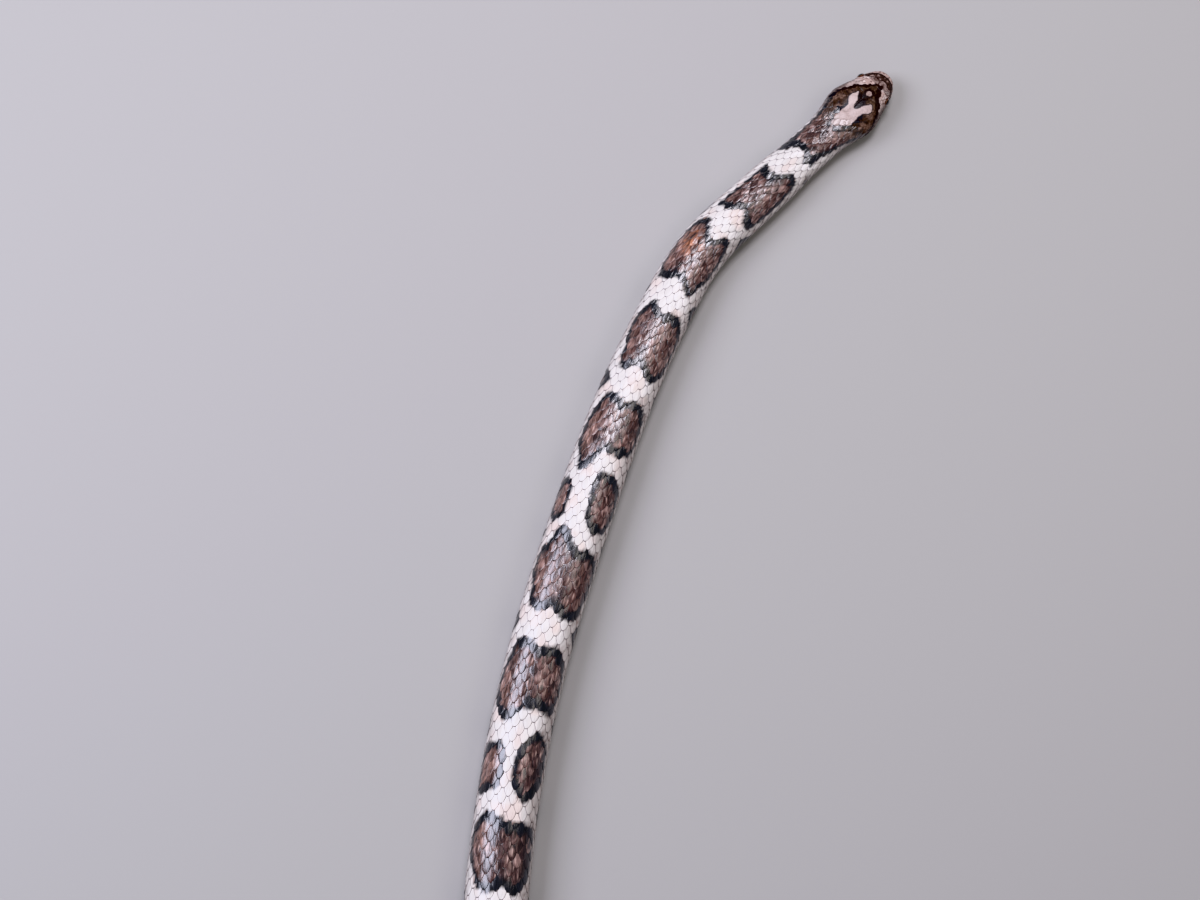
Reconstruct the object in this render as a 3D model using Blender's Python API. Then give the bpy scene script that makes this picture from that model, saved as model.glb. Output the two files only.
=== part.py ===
"""A life-size eastern milk snake at rest on a flat floor, its head a little raised.

Lengths are in millimetres until the meshes are made. A place on the animal is given by its distance
from the tip of the snout along the back, how far it lies to the animal's left, and its height.
"""
import math

import bmesh
import bpy
import numpy as np
from mathutils import Vector

MM = 0.001

# The whole animal, by distance from the tip of the snout
LENGTH = 800.0
HEAD_LENGTH = 17.0
NECK_END = 40.0
VENT = 690.0
TAIL_MIDDLE = 745.0
BODY_LENGTHS = 8
GAP = 0.3

# The route: where the snout lies on the floor, and the heading that the animal faces at stations
# along its back. Between stations the heading turns evenly, so the back runs in arcs.
SNOUT = (26.0, 266.6)
HEADINGS = (
    (0, 44), (22, 42.5), (52, 42.5), (68, 61), (110, 70), (150, 73), (185, 80), (214, 85),
    (240, 98), (285, 168), (325, 182), (350, 174), (402, 96), (452, 18), (480, 0), (520, 4),
    (566, 72), (610, 142), (650, 158), (700, 128), (745, 84), (800, 44),
)
ROUTE_STEP = 0.5

# Half the width, and the heights of the back and the underside, at stations along the animal
HALF_WIDTHS = (
    (0, 1.0), (0.4, 1.95), (1, 2.65), (2.1, 3.4), (4.2, 4.35), (6.3, 4.9), (8.6, 5.7), (11, 6.3),
    (13, 6.4), (15.6, 5.95), (18, 5.4), (22, 5.05), (27, 5.05), (36, 5.6), (57, 5.95), (81, 6.3),
    (104, 6.7), (145, 7.1), (205, 7.25), (300, 7.9), (430, 7.9), (560, 7.1), (640, 6.1), (688, 5.2),
    (700, 4.5), (750, 2.8), (790, 1.15), (800, 0.35),
)
TOPS = (
    (0, 3.9), (0.4, 4.5), (1, 4.95), (2.1, 5.5), (4.2, 6.3), (6.3, 6.9), (8.6, 7.35), (11, 7.6),
    (16, 7.7), (21, 8.0), (27, 8.7), (36, 9.7), (57, 10.6), (104, 11.8), (145, 12.4), (205, 12.7),
    (300, 13.7), (430, 13.7), (560, 12.4), (640, 10.8), (688, 9.3), (700, 8.3), (750, 5.3),
    (790, 2.3), (800, 0.8),
)
UNDERSIDES = ((0, 2.9), (0.4, 2.3), (1, 1.3), (2.1, 0.7), (4.2, 0.35), (8, 0.1), (12, 0), (800, 0))
WIDEST_LEVEL = 0.46
HEAD_RAISE = 1.8
RAISE_END = 34.0

# How square the section is above and below its widest level: 2 is an ellipse
SQUARE_ABOVE = ((0, 2.3), (3, 2.9), (14, 2.8), (30, 2.2), (800, 2.1))
SQUARE_BELOW = 2.4
BELLY_DEPTH = 1.12
BELLY_EDGE = math.pi - math.acos(BELLY_DEPTH ** (-SQUARE_BELOW / 2))

# Belly plates: each solid one stands for two of the animal's, which are 3.45 long
PLATE_PITCH = 2 * 3.45
PLATE_STEP = 0.35
PLATE_SLOPE = 0.25
PLATE_FLAT_FROM = 0.55
PLATES_END = 770.0

# The head: lips, mouth, nostrils and eyes
LIP_BULGE = 0.22
LIP_OFFSET = 0.75
LIP_SPREAD = 0.5
MOUTH_HEIGHTS = ((0.6, 2.0), (3, 2.2), (5.5, 2.05), (8.5, 2.35), (11.5, 2.75), (13.6, 2.5))
MOUTH_FRONT, MOUTH_CORNER = 0.6, 13.6
MOUTH_GROOVE_RADIUS = 0.28
EYE_RADIUS = 1.2
EYE_BACK, EYE_SIDE, EYE_HEIGHT = 5.1, 3.6, 4.4
NOSTRIL_RADIUS = 0.34
NOSTRIL_BACK, NOSTRIL_HEIGHT = 1.95, 3.85
SHIELD_RAISE = 0.2
SHIELD_ROOT = 0.9
SHIELD_EDGE = 1.1

# Shields on top of the head, as seen from above: distance back from the snout, distance left
FRONTAL = ((4.75, -1.45), (4.75, 1.45), (6.4, 1.25), (7.8, 1.0), (9.1, 0), (7.8, -1.0), (6.4, -1.25))
PAIRED_SHIELDS = {
    "internasal": ((0.65, 0.12), (0.7, 1.3), (1.3, 2.05), (2.45, 2.3), (2.55, 0.12)),
    "prefrontal": ((2.8, 0.12), (2.75, 2.45), (3.4, 2.95), (4.3, 2.9), (4.5, 1.6), (4.5, 0.12)),
    "supraocular": ((4.75, 1.7), (4.6, 2.95), (5.3, 3.4), (6.6, 3.6), (7.4, 3.3), (7.6, 1.25),
                    (6.4, 1.5)),
    "parietal": ((8.0, 1.2), (7.85, 2.8), (8.7, 3.85), (10.6, 4.35), (12.6, 3.85), (13.9, 2.5),
                 (14.3, 1.05), (13.6, 0.12), (9.6, 0.12)),
}

# Colours from the photograph, and how dull each surface is
SCALE_COLOUR = (0.30, 0.19, 0.16)
SHIELD_COLOUR = (0.16, 0.085, 0.07)
TAIL_COLOUR = (0.32, 0.22, 0.19)
EYE_COLOUR = (0.02, 0.012, 0.01)
SCALE_ROUGHNESS, EYE_ROUGHNESS = 0.42, 0.08


def smooth(stations, at):
    """The value at a distance, on a smooth curve through stations that never overshoots them."""
    x, y = np.array(stations, float).T
    at = np.clip(np.asarray(at, float), x[0], x[-1])
    run = np.diff(x)
    rise = np.diff(y) / run
    slope = np.concatenate(([rise[0]], np.zeros(len(x) - 2), [rise[-1]]))
    same_way = rise[1:] * rise[:-1] > 0
    slope[1:-1][same_way] = (2 * rise[1:] * rise[:-1])[same_way] / (rise[1:] + rise[:-1])[same_way]
    k = np.clip(np.searchsorted(x, at, side="right") - 1, 0, len(run) - 1)
    t = (at - x[k]) / run[k]
    return (
        y[k] * (1 + 2 * t) * (1 - t) ** 2
        + y[k + 1] * t * t * (3 - 2 * t)
        + run[k] * slope[k] * t * (1 - t) ** 2
        - run[k] * slope[k + 1] * t * t * (1 - t)
    )


def walk_route():
    """Distances along the back, with the floor point and the heading at each."""
    along = np.arange(0, LENGTH + ROUTE_STEP / 2, ROUTE_STEP)
    facing = np.radians(np.interp(along, *np.transpose(HEADINGS)))
    steps = [
        np.concatenate(([0], np.cumsum((way[1:] + way[:-1]) / 2 * ROUTE_STEP)))
        for way in (np.cos(facing), np.sin(facing))
    ]
    return along, SNOUT[0] - steps[0], SNOUT[1] - steps[1], facing


ALONG, ROUTE_X, ROUTE_Y, FACING = walk_route()


def raise_at(back):
    """How far the head and neck are lifted off the floor."""
    t = np.clip(1 - back / RAISE_END, 0, 1)
    return HEAD_RAISE * t * t * (3 - 2 * t)


def place(back, left, height):
    """The point, in metres, that lies this far back along the animal, left of it and up."""
    x, y, facing = (np.interp(back, ALONG, values) for values in (ROUTE_X, ROUTE_Y, FACING))
    x = x - np.sin(facing) * left
    y = y + np.cos(facing) * left
    return Vector((x, y, height + raise_at(back))) * MM


def section(back):
    """Half the width, the widest level, and how far the section reaches above and below it."""
    top, under = smooth(TOPS, back), smooth(UNDERSIDES, back)
    level = under + WIDEST_LEVEL * (top - under)
    return smooth(HALF_WIDTHS, back), level, top - level, (level - under) * BELLY_DEPTH


def lip_bulge(back, height):
    """How far the lips stand out above and below the line of the mouth."""
    mouth = smooth(MOUTH_HEIGHTS, back)
    along = np.clip((MOUTH_CORNER + 1 - back) / 3, 0, 1) * np.clip(back / 2, 0, 1)
    lips = sum(
        math.exp(-(((height - mouth - side * LIP_OFFSET) / LIP_SPREAD) ** 2)) for side in (1, -0.9)
    )
    return LIP_BULGE * along * lips


def skin_point(back, angle):
    """Left and up, in millimetres, at an angle that runs from the back, over the left side."""
    half_width, level, above, below = section(back)
    upper = math.cos(angle) >= 0
    square = smooth(SQUARE_ABOVE, back) if upper else SQUARE_BELOW
    left = half_width * math.copysign(abs(math.sin(angle)) ** (2 / square), math.sin(angle))
    if upper:
        height = level + above * abs(math.cos(angle)) ** (2 / square)
    else:
        height = level - below * abs(math.cos(angle)) ** (2 / square)
    height = max(height, float(smooth(UNDERSIDES, back)))
    if back < MOUTH_CORNER + 1:
        left += math.copysign(lip_bulge(back, height), left) * min(abs(left) / half_width, 1)
    return left, height


def side_at(back, height):
    """How far out the skin lies at a height, on one side."""
    half_width, level, above, below = section(back)
    square = smooth(SQUARE_ABOVE, back) if height > level else SQUARE_BELOW
    reach = above if height > level else below
    out = half_width * max(1 - min(abs(height - level) / reach, 1) ** square, 0) ** (1 / square)
    return float(out) + lip_bulge(back, height)


def top_at(back, left):
    """How high the skin lies at a place seen from above."""
    half_width, level, above, _ = section(back)
    square = smooth(SQUARE_ABOVE, back)
    return float(level + above * max(1 - min(abs(left) / half_width, 1) ** square, 0) ** (1 / square))


def finish(name, colour, roughness):
    """A plain material of its own for one sub-part."""
    material = bpy.data.materials.new(name)
    material.use_nodes = True
    shader = material.node_tree.nodes["Principled BSDF"]
    shader.inputs["Base Color"].default_value = (*colour, 1)
    shader.inputs["Roughness"].default_value = roughness
    shader.inputs["Metallic"].default_value = 0
    return material


def to_object(name, mesh_builder, collection, material=None):
    """An object made from a bmesh, with its faces pointing out."""
    bmesh.ops.recalc_face_normals(mesh_builder, faces=mesh_builder.faces)
    mesh = bpy.data.meshes.new(name)
    mesh_builder.to_mesh(mesh)
    mesh_builder.free()
    mesh.shade_smooth()
    if material:
        mesh.materials.append(material)
    made = bpy.data.objects.new(name, mesh)
    collection.objects.link(made)
    return made


def loft(name, rings, collection, material):
    """A closed body through rings of points, each ring with as many points as the next."""
    builder = bmesh.new()
    loops = [[builder.verts.new(point) for point in ring] for ring in rings]
    for ring, following in zip(loops, loops[1:]):
        for k in range(len(ring)):
            after = (k + 1) % len(ring)
            builder.faces.new((ring[k], ring[after], following[after], following[k]))
    builder.faces.new(loops[0])
    builder.faces.new(loops[-1])
    return to_object(name, builder, collection, material)


def around(half_angles):
    """Angles once round the section, from those down one side, back and belly included."""
    return list(half_angles) + [2 * math.pi - angle for angle in half_angles[-2:0:-1]]


BODY_ANGLES = around(
    [math.radians(a) for a in (0, 22, 42, 60, 76, 92, 108, 122, 137)] + [BELLY_EDGE, math.pi]
)
HEAD_ANGLES = around(
    [math.radians(a) for a in (0, 18, 34, 48, 60, 70, 80, 88, 96, 104, 113, 123, 135)]
    + [BELLY_EDGE, math.pi]
)


def ring_at(back, angles, belly_lift=0.0):
    """One ring of the skin, with the belly between its edges lifted clear of the floor."""
    points = []
    for angle in angles:
        left, height = skin_point(back, angle)
        on_belly = BELLY_EDGE - 0.01 < angle < 2 * math.pi - BELLY_EDGE + 0.01
        points.append(place(back, left, height + belly_lift * on_belly))
    return points


def body_length(name, start, end, angles, collection, material):
    """A length of the body, whose belly plates each lap over the front of the next."""
    plates = max(1, round((min(end, PLATES_END) - start) / PLATE_PITCH))
    pitch = (end - start) / plates
    rings = []
    for k in range(plates):
        front = start + k * pitch
        lift = PLATE_STEP * min(1, smooth(TOPS, front) / 8)
        rings.append(ring_at(front, angles, lift))
        rings.append(ring_at(front + PLATE_FLAT_FROM * pitch, angles))
        rings.append(ring_at(front + pitch - PLATE_SLOPE * (k < plates - 1), angles))
    return loft(name, rings, collection, material)


def shield(outline, collection):
    """A plate that stands on the head, its edge shortened into steps that follow the skin."""
    rim = []
    for (back, left), (next_back, next_left) in zip(outline, outline[1:] + outline[:1]):
        pieces = max(1, math.ceil(math.hypot(next_back - back, next_left - left) / SHIELD_EDGE))
        for step in range(pieces):
            t = step / pieces
            rim.append((back + (next_back - back) * t, left + (next_left - left) * t))
    middle = np.mean(rim, axis=0)
    builder = bmesh.new()
    upper, lower = (
        [builder.verts.new(place(back, left, top_at(back, left) + rise)) for back, left in rim]
        for rise in (SHIELD_RAISE, -SHIELD_ROOT)
    )
    crown = builder.verts.new(place(*middle, top_at(*middle) + SHIELD_RAISE))
    root = builder.verts.new(place(*middle, top_at(*middle) - SHIELD_ROOT))
    for k in range(len(rim)):
        after = (k + 1) % len(rim)
        builder.faces.new((upper[k], upper[after], crown))
        builder.faces.new((lower[k], lower[after], root))
        builder.faces.new((upper[k], upper[after], lower[after], lower[k]))
    return to_object("shield", builder, collection)


def ball(name, radius, centre, collection, segments, rings, material=None):
    """A round body, for the eyes, their sockets and the nostrils."""
    builder = bmesh.new()
    bmesh.ops.create_uvsphere(builder, u_segments=segments, v_segments=rings, radius=radius * MM)
    made = to_object(name, builder, collection, material)
    made.location = centre
    return made


def mouth_groove(collection):
    """A thin rod along the line of the mouth, from corner to corner round the snout."""
    path = []
    for t in np.linspace(-1, 1, 45):
        back = MOUTH_FRONT + (MOUTH_CORNER - MOUTH_FRONT) * abs(t) ** 1.7
        height = float(smooth(MOUTH_HEIGHTS, back))
        path.append(place(back, math.copysign(side_at(back, height), t), height))
    curve = bpy.data.curves.new("mouth_groove", "CURVE")
    curve.dimensions = "3D"
    curve.bevel_depth = MOUTH_GROOVE_RADIUS * MM
    curve.bevel_resolution = 1
    curve.use_fill_caps = True
    line = curve.splines.new("POLY")
    line.points.add(len(path) - 1)
    for point, at in zip(line.points, path):
        point.co = (*at, 1)
    rod = bpy.data.objects.new("mouth_groove", curve)
    collection.objects.link(rod)
    bpy.context.view_layer.update()
    evaluated = rod.evaluated_get(bpy.context.evaluated_depsgraph_get())
    builder = bmesh.new()
    builder.from_mesh(bpy.data.meshes.new_from_object(evaluated))
    bmesh.ops.remove_doubles(builder, verts=builder.verts, dist=0.001 * MM)
    made = to_object("mouth_groove_rod", builder, collection)
    made.matrix_world = rod.matrix_world.copy()
    bpy.data.objects.remove(rod)
    return made


def combine(target, collection, operation):
    """Join a collection of closed bodies to the target, or cut it by them, and clear them away."""
    change = target.modifiers.new(operation.lower(), "BOOLEAN")
    change.operation = operation
    change.operand_type = "COLLECTION"
    change.collection = collection
    change.solver = "EXACT"
    bpy.context.view_layer.update()
    evaluated = target.evaluated_get(bpy.context.evaluated_depsgraph_get())
    result = bpy.data.meshes.new_from_object(evaluated)
    target.modifiers.remove(change)
    target.data = result
    for used in list(collection.objects):
        bpy.data.objects.remove(used)
    keep_largest(result)


def keep_largest(mesh):
    """Leave only the closed surface with the most faces."""
    builder = bmesh.new()
    builder.from_mesh(mesh)
    unseen = set(builder.faces)
    shells = []
    while unseen:
        shell, reached = [], [unseen.pop()]
        while reached:
            face = reached.pop()
            shell.append(face)
            for edge in face.edges:
                for beside in edge.link_faces:
                    if beside in unseen:
                        unseen.remove(beside)
                        reached.append(beside)
        shells.append(shell)
    largest = max(shells, key=len)
    for shell in shells:
        if shell is not largest:
            bmesh.ops.delete(builder, geom=shell, context="FACES")
    builder.to_mesh(mesh)
    builder.free()


def make_head(parts, cutters, material):
    """The head, with its shields, the line of the mouth, the nostrils and a socket for each eye."""
    backs = (0.05, 0.35, 0.8, 1.4, 2.1, 2.9, 3.7, 4.5, 5.4, 6.4, 7.5, 8.7, 10, 11.3, 12.6, 13.9, 15.2,
             HEAD_LENGTH - GAP / 2)
    head = loft("head", [ring_at(back, HEAD_ANGLES) for back in backs], parts, material)
    shield(FRONTAL, cutters)
    for outline in PAIRED_SHIELDS.values():
        shield(outline, cutters)
        shield(tuple((back, -left) for back, left in reversed(outline)), cutters)
    combine(head, cutters, "UNION")
    mouth_groove(cutters)
    for side in (1, -1):
        nostril_side = side_at(NOSTRIL_BACK, NOSTRIL_HEIGHT) * side
        ball("nostril", NOSTRIL_RADIUS, place(NOSTRIL_BACK, nostril_side, NOSTRIL_HEIGHT), cutters, 10, 6)
        ball("socket", EYE_RADIUS + GAP, place(EYE_BACK, EYE_SIDE * side, EYE_HEIGHT), cutters, 18, 10)
    combine(head, cutters, "DIFFERENCE")
    return head


def make_eyes(parts):
    """The two eyes, each a ball in its socket."""
    for name, side in (("eye_left", 1), ("eye_right", -1)):
        centre = place(EYE_BACK, EYE_SIDE * side, EYE_HEIGHT)
        ball(name, EYE_RADIUS, centre, parts, 16, 10, finish(name, EYE_COLOUR, EYE_ROUGHNESS))


def make_lengths(parts):
    """The neck, the lengths of the body and those of the tail, face to face."""
    body_ends = np.linspace(NECK_END, VENT, BODY_LENGTHS + 1)
    lengths = [("neck", HEAD_LENGTH, NECK_END, SHIELD_COLOUR)]
    for k, (start, end) in enumerate(zip(body_ends, body_ends[1:]), 1):
        lengths.append((f"body_{k}", start, end, SCALE_COLOUR))
    lengths.append(("tail_1", VENT, TAIL_MIDDLE, TAIL_COLOUR))
    lengths.append(("tail_2", TAIL_MIDDLE, LENGTH, TAIL_COLOUR))
    for name, start, end, colour in lengths:
        rear = end - GAP / 2 * (end < LENGTH)
        angles = HEAD_ANGLES if name == "neck" else BODY_ANGLES
        material = finish(name, colour, SCALE_ROUGHNESS)
        body_length(name, start + GAP / 2, rear, angles, parts, material)


def main():
    for old in list(bpy.data.objects):
        bpy.data.objects.remove(old)
    parts = bpy.data.collections.new("milk_snake")
    cutters = bpy.data.collections.new("cutters")
    for collection in (parts, cutters):
        bpy.context.scene.collection.children.link(collection)
    make_head(parts, cutters, finish("head", SHIELD_COLOUR, SCALE_ROUGHNESS))
    make_eyes(parts)
    make_lengths(parts)


main()
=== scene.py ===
"""An eastern milk snake at rest, seen from above: skin, scales, belly plates and eyes.

Lengths are in millimetres until a mesh is made. A place on the animal is given by its distance back
from the tip of the snout, its share of the girth (0 along the back, 1 and -1 under the belly, the
left side positive), and how far it stands off the outer surface.
"""
import math
from functools import partial

import bmesh
import bpy
import numpy as np
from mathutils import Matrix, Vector, kdtree


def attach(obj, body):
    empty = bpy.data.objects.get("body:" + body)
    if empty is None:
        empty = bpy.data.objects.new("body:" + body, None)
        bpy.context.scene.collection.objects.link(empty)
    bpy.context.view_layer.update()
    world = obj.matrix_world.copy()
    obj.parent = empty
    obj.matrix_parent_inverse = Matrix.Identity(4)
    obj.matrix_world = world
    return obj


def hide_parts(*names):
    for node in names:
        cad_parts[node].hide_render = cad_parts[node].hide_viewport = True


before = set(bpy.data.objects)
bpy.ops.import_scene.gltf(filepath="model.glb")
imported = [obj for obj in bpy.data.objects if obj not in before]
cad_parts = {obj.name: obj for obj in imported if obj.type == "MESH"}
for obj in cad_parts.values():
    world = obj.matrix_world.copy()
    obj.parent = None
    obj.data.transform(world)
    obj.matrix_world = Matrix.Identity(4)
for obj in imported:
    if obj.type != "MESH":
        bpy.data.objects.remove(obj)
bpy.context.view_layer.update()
MM = 0.001

# The animal, the same as in the solids but for a finer tip of the tail
LENGTH = 800
VENT = 690
SNOUT = (26, 266.6)
HEADINGS = (
    (0, 44), (22, 42.5), (52, 42.5), (68, 61), (110, 70), (150, 73), (185, 80), (214, 85), (240, 98),
    (285, 168), (325, 182), (350, 174), (402, 96), (452, 18), (480, 0), (520, 4), (566, 72), (610, 142),
    (650, 158), (700, 128), (745, 84), (800, 44),
)
HALF_WIDTHS = (
    (0, 1), (0.4, 1.95), (1, 2.65), (2.1, 3.4), (4.2, 4.35), (6.3, 4.9), (8.6, 5.7), (11, 6.3), (13, 6.4),
    (15.6, 5.95), (18, 5.4), (22, 5.05), (27, 5.05), (36, 5.6), (57, 5.95), (81, 6.3), (104, 6.7),
    (145, 7.1), (205, 7.25), (300, 7.9), (430, 7.9), (560, 7.1), (640, 6.1), (688, 5.2), (700, 4.5),
    (750, 2.8), (790, 1.15), (797, 0.62), (800, 0.16),
)
TOPS = (
    (0, 3.9), (0.4, 4.5), (1, 4.95), (2.1, 5.5), (4.2, 6.3), (6.3, 6.9), (8.6, 7.35), (11, 7.6), (16, 7.7),
    (21, 8), (27, 8.7), (36, 9.7), (57, 10.6), (104, 11.8), (145, 12.4), (205, 12.7), (300, 13.7),
    (430, 13.7), (560, 12.4), (640, 10.8), (688, 9.3), (700, 8.3), (750, 5.3), (790, 2.3), (797, 1.35),
    (800, 0.5),
)
UNDERSIDES = ((0, 2.9), (0.4, 2.3), (1, 1.3), (2.1, 0.7), (4.2, 0.35), (8, 0.1), (12, 0), (800, 0))
WIDEST_LEVEL = 0.46
HEAD_RAISE, RAISE_END = 1.8, 34
SQUARE_ABOVE = ((0, 2.3), (3, 2.9), (14, 2.8), (30, 2.2), (800, 2.1))
SQUARE_BELOW = 2.4
BELLY_DEPTH = 1.12
BELLY_EDGE = math.pi - math.acos(BELLY_DEPTH ** (-SQUARE_BELOW / 2))
LIP_BULGE, LIP_OFFSET, LIP_SPREAD = 0.22, 0.75, 0.5
MOUTH_HEIGHTS = ((0.6, 2), (3, 2.2), (5.5, 2.05), (8.5, 2.35), (11.5, 2.75), (13.6, 2.5))
MOUTH_FRONT, MOUTH_CORNER = 0.6, 13.6
ROUTE_STEP, GRID_STEP, GIRTH_SAMPLES, SECTION_SAMPLES = 0.5, 0.25, 257, 1441

# The picture: where the middle of the frame lies, and the camera's tilt back from straight down
PICTURE_CENTRE = (-41.05, 179, 6.5)
CAMERA_TILT, CAMERA_DISTANCE = 6, 455
LENS, SENSOR = 60, 36

# Three clouds overhead that mirror in the scales, white over the neck and bluer to the left: name, place,
# length and width, turn in degrees, watts and colour
SKY_LIGHTS = (
    ("bright_cloud", (20, 395, 600), (215, 150), 50, 2.4, "#F3EFFB"),
    ("blue_cloud", (-575, 245, 600), (620, 390), 0, 7, "#E0E1F5"),
    ("thin_cloud", (360, 225, 600), (330, 330), 0, 0.8, "#FFF6F0"),
)
SKY_COLOUR, SKY_STRENGTH = "#EEF1F6", 0.3
FLOOR_GREY, FLOOR_METRES, FLOOR_DROP = "#ABA9A6", 6, 0.3

# Scales and plates
SCALE_DEPTH, FULL_DEPTH_WIDTH = 0.28, 4
SCALES_FROM, PLATES_FROM = 11, 17.5
PITCHES = (
    (11, 1.9), (24, 2.35), (40, 2.65), (100, 3), (125, 3.1), (185, 3.4), (300, 3.7), (560, 3.6), (690, 3),
    (750, 2.1), (800, 1.3),
)
BACK_ROWS = ((0, 21), (690, 17), (712, 13), (738, 9), (764, 7), (782, 5))
FIRST_SCALES = ((0, 14.9), (0.2, 14.7), (0.4, 13.4), (0.6, 12.9), (0.76, 14.2), (1, 16))
COATS = (("scales_fore", 11, 200), ("scales_middle", 200, 400), ("scales_hind", 400, 600),
         ("scales_tail", 600, 800))
# How wide a scale's patch in the UV map is
PATCH = 0.006
# How deep the fine waves and the lean of each scale are on the neck and behind it, and where that changes
NECK_RELIEF, BODY_RELIEF, RELIEF_CHANGE = 0.19, 0.085, (70, 130)
# How many grains of pigment lie across half a scale and along it, the light ones partly painted glints, and
# how much it leans both ways
SCALE_GRAINS, SCALE_LEAN = (2.3, 1.5, 0), (1.7, 5, 0)
# How wide the grains of pigment on the head are, and how deep
HEAD_GRAIN, HEAD_RELIEF = 0.4, 0.08
# Up to here a scale's painted glint lies near one of its sides, and farther back anywhere across it
SIDE_GLINTS_END = 33

# Eyes and nostrils
EYE_RADIUS = 1.25
EYE_BACK, EYE_SIDE, EYE_HEIGHT = 5.1, 3.66, 4.4
EYE_RIM = 1.06
NOSTRIL_BACK, NOSTRIL_HEIGHT = 1.95, 3.85


def linear(colour):
    """A colour from sRGB hex to the linear values that shaders read."""
    parts = [int(colour[k:k + 2], 16) / 255 for k in (1, 3, 5)]
    return np.array([c / 12.92 if c <= 0.04045 else ((c + 0.055) / 1.055) ** 2.4 for c in parts])


# PALE_SHADE greys the flanks: partly their own colour, partly painted shade on the right
PALE, PALE_PINK, PALE_SHADE = map(linear, ("#E8E2DD", "#E6D2C8", "#B4A8A2"))
BROWN, BROWN_DARK, BROWN_RED, BROWN_PINK = map(linear, ("#573F3A", "#2F2425", "#795C52", "#8F746D"))
BLACK, BELLY_WHITE, SEAM_BROWN = map(linear, ("#121319", "#E6E0DB", "#2A1A16"))
CAP_BROWN, CAP_RED, CAP_OLIVE = map(linear, ("#38291F", "#6A564B", "#4F4034"))
SNOUT_BROWN, SNOUT_BAND, LIP_PINK = map(linear, ("#382C27", "#B79F96", "#BDABA4"))
BAND_DARK, BAND_PALE, LIP_DARK = map(linear, ("#4C342C", "#CBB9B2", "#7E6D67"))
MARK_PALE, SPOT_PALE = map(linear, ("#BBA9A3", "#9C877F"))
# LIGHT_GRAINS are light pigment grains that also serve as painted glints; GLINT and WARM_GLINT are painted
# highlights
LIGHT_GRAINS, GLINT, WARM_GLINT = map(linear, ("#A68578", "#D8B6AA", "#BE7C58"))
# What the rear edge of a pale scale and of a brown one leaves of its colour: partly the edge's own darker
# colour, partly painted shadow along it
EDGE_TINT, BROWN_EDGE_TINT = map(linear, ("#7C7072", "#C8C2C4"))


def step(value, start, end):
    """0 before start and 1 after end, smooth between."""
    t = np.clip((value - start) / (end - start), 0, 1)
    return t * t * (3 - 2 * t)


def bump(distance, width):
    """1 at no distance, and next to nothing from about twice the width."""
    return np.exp(-((distance / width) ** 2))


def smooth(stations, at):
    """The value at a distance, on a smooth curve through stations that never overshoots them."""
    x, y = np.array(stations, float).T
    at = np.clip(at, x[0], x[-1])
    run = np.diff(x)
    rise = np.diff(y) / run
    slope = np.concatenate(([rise[0]], np.zeros(len(x) - 2), [rise[-1]]))
    same_way = rise[1:] * rise[:-1] > 0
    slope[1:-1][same_way] = (2 * rise[1:] * rise[:-1])[same_way] / (rise[1:] + rise[:-1])[same_way]
    k = np.clip(np.searchsorted(x, at, side="right") - 1, 0, len(run) - 1)
    t = (at - x[k]) / run[k]
    return (y[k] * (1 + 2 * t) * (1 - t) ** 2 + y[k + 1] * t * t * (3 - 2 * t)
            + run[k] * slope[k] * t * (1 - t) ** 2 - run[k] * slope[k + 1] * t * t * (1 - t))


def walk_route():
    """Distances along the back, with the floor point and the heading at each."""
    along = np.arange(0, LENGTH + ROUTE_STEP / 2, ROUTE_STEP)
    facing = np.radians(np.interp(along, *np.transpose(HEADINGS)))
    steps = [np.concatenate(([0], np.cumsum((way[1:] + way[:-1]) / 2 * ROUTE_STEP)))
             for way in (np.cos(facing), np.sin(facing))]
    return along, SNOUT[0] - steps[0], SNOUT[1] - steps[1], facing


def lip_bulge(back, height):
    """How far the lips stand out above and below the line of the mouth."""
    mouth = smooth(MOUTH_HEIGHTS, back)
    along = np.clip((MOUTH_CORNER + 1 - back) / 3, 0, 1) * np.clip(back / 2, 0, 1)
    return LIP_BULGE * along * sum(bump(height - mouth - side * LIP_OFFSET, LIP_SPREAD) for side in (1, -0.9))


def skin_grid():
    """The outer surface, as left, height and outward direction by distance and share of the girth.

    The last two results are where the belly's edge lies, and half the girth in millimetres.
    """
    angles = np.linspace(-math.pi, math.pi, SECTION_SAMPLES)
    back = GRID_BACK[:, None]
    half_width, top, under = (smooth(stations, back) for stations in (HALF_WIDTHS, TOPS, UNDERSIDES))
    level = under + WIDEST_LEVEL * (top - under)
    sine, cosine = np.sin(angles), np.cos(angles)
    square = np.where(cosine >= 0, smooth(SQUARE_ABOVE, back), SQUARE_BELOW)
    left = half_width * np.sign(sine) * np.abs(sine) ** (2 / square)
    reach = np.where(cosine >= 0, top - level, -(level - under) * BELLY_DEPTH)
    height = np.maximum(level + reach * np.abs(cosine) ** (2 / square), under)
    left = left + np.sign(left) * lip_bulge(back, height) * np.minimum(np.abs(left) / half_width, 1)
    run = np.hypot(np.diff(left, axis=1), np.diff(height, axis=1))
    arc = np.concatenate((np.zeros((len(GRID_BACK), 1)), np.cumsum(run, axis=1)), axis=1)
    share = arc / arc[:, -1:] * 2 - 1
    even = np.linspace(-1, 1, GIRTH_SAMPLES)
    lefts, heights = (np.array([np.interp(even, *pair) for pair in zip(share, values)])
                      for values in (left, height))
    edge = np.array([np.interp(BELLY_EDGE, angles, row) for row in share])
    slopes = [np.gradient(np.concatenate((v[:, -3:-1], v, v[:, 1:3]), axis=1), axis=1)[:, 2:-2]
              for v in (lefts, heights)]
    size = np.maximum(np.hypot(*slopes), 1e-9)
    return np.stack((lefts, heights, -slopes[1] / size, slopes[0] / size), -1), edge, arc[:, -1] / 2


ALONG, ROUTE_X, ROUTE_Y, FACING = walk_route()
GRID_BACK = np.arange(0, LENGTH + GRID_STEP / 2, GRID_STEP)
SKIN, EDGE_SHARE, HALF_GIRTH = skin_grid()


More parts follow.
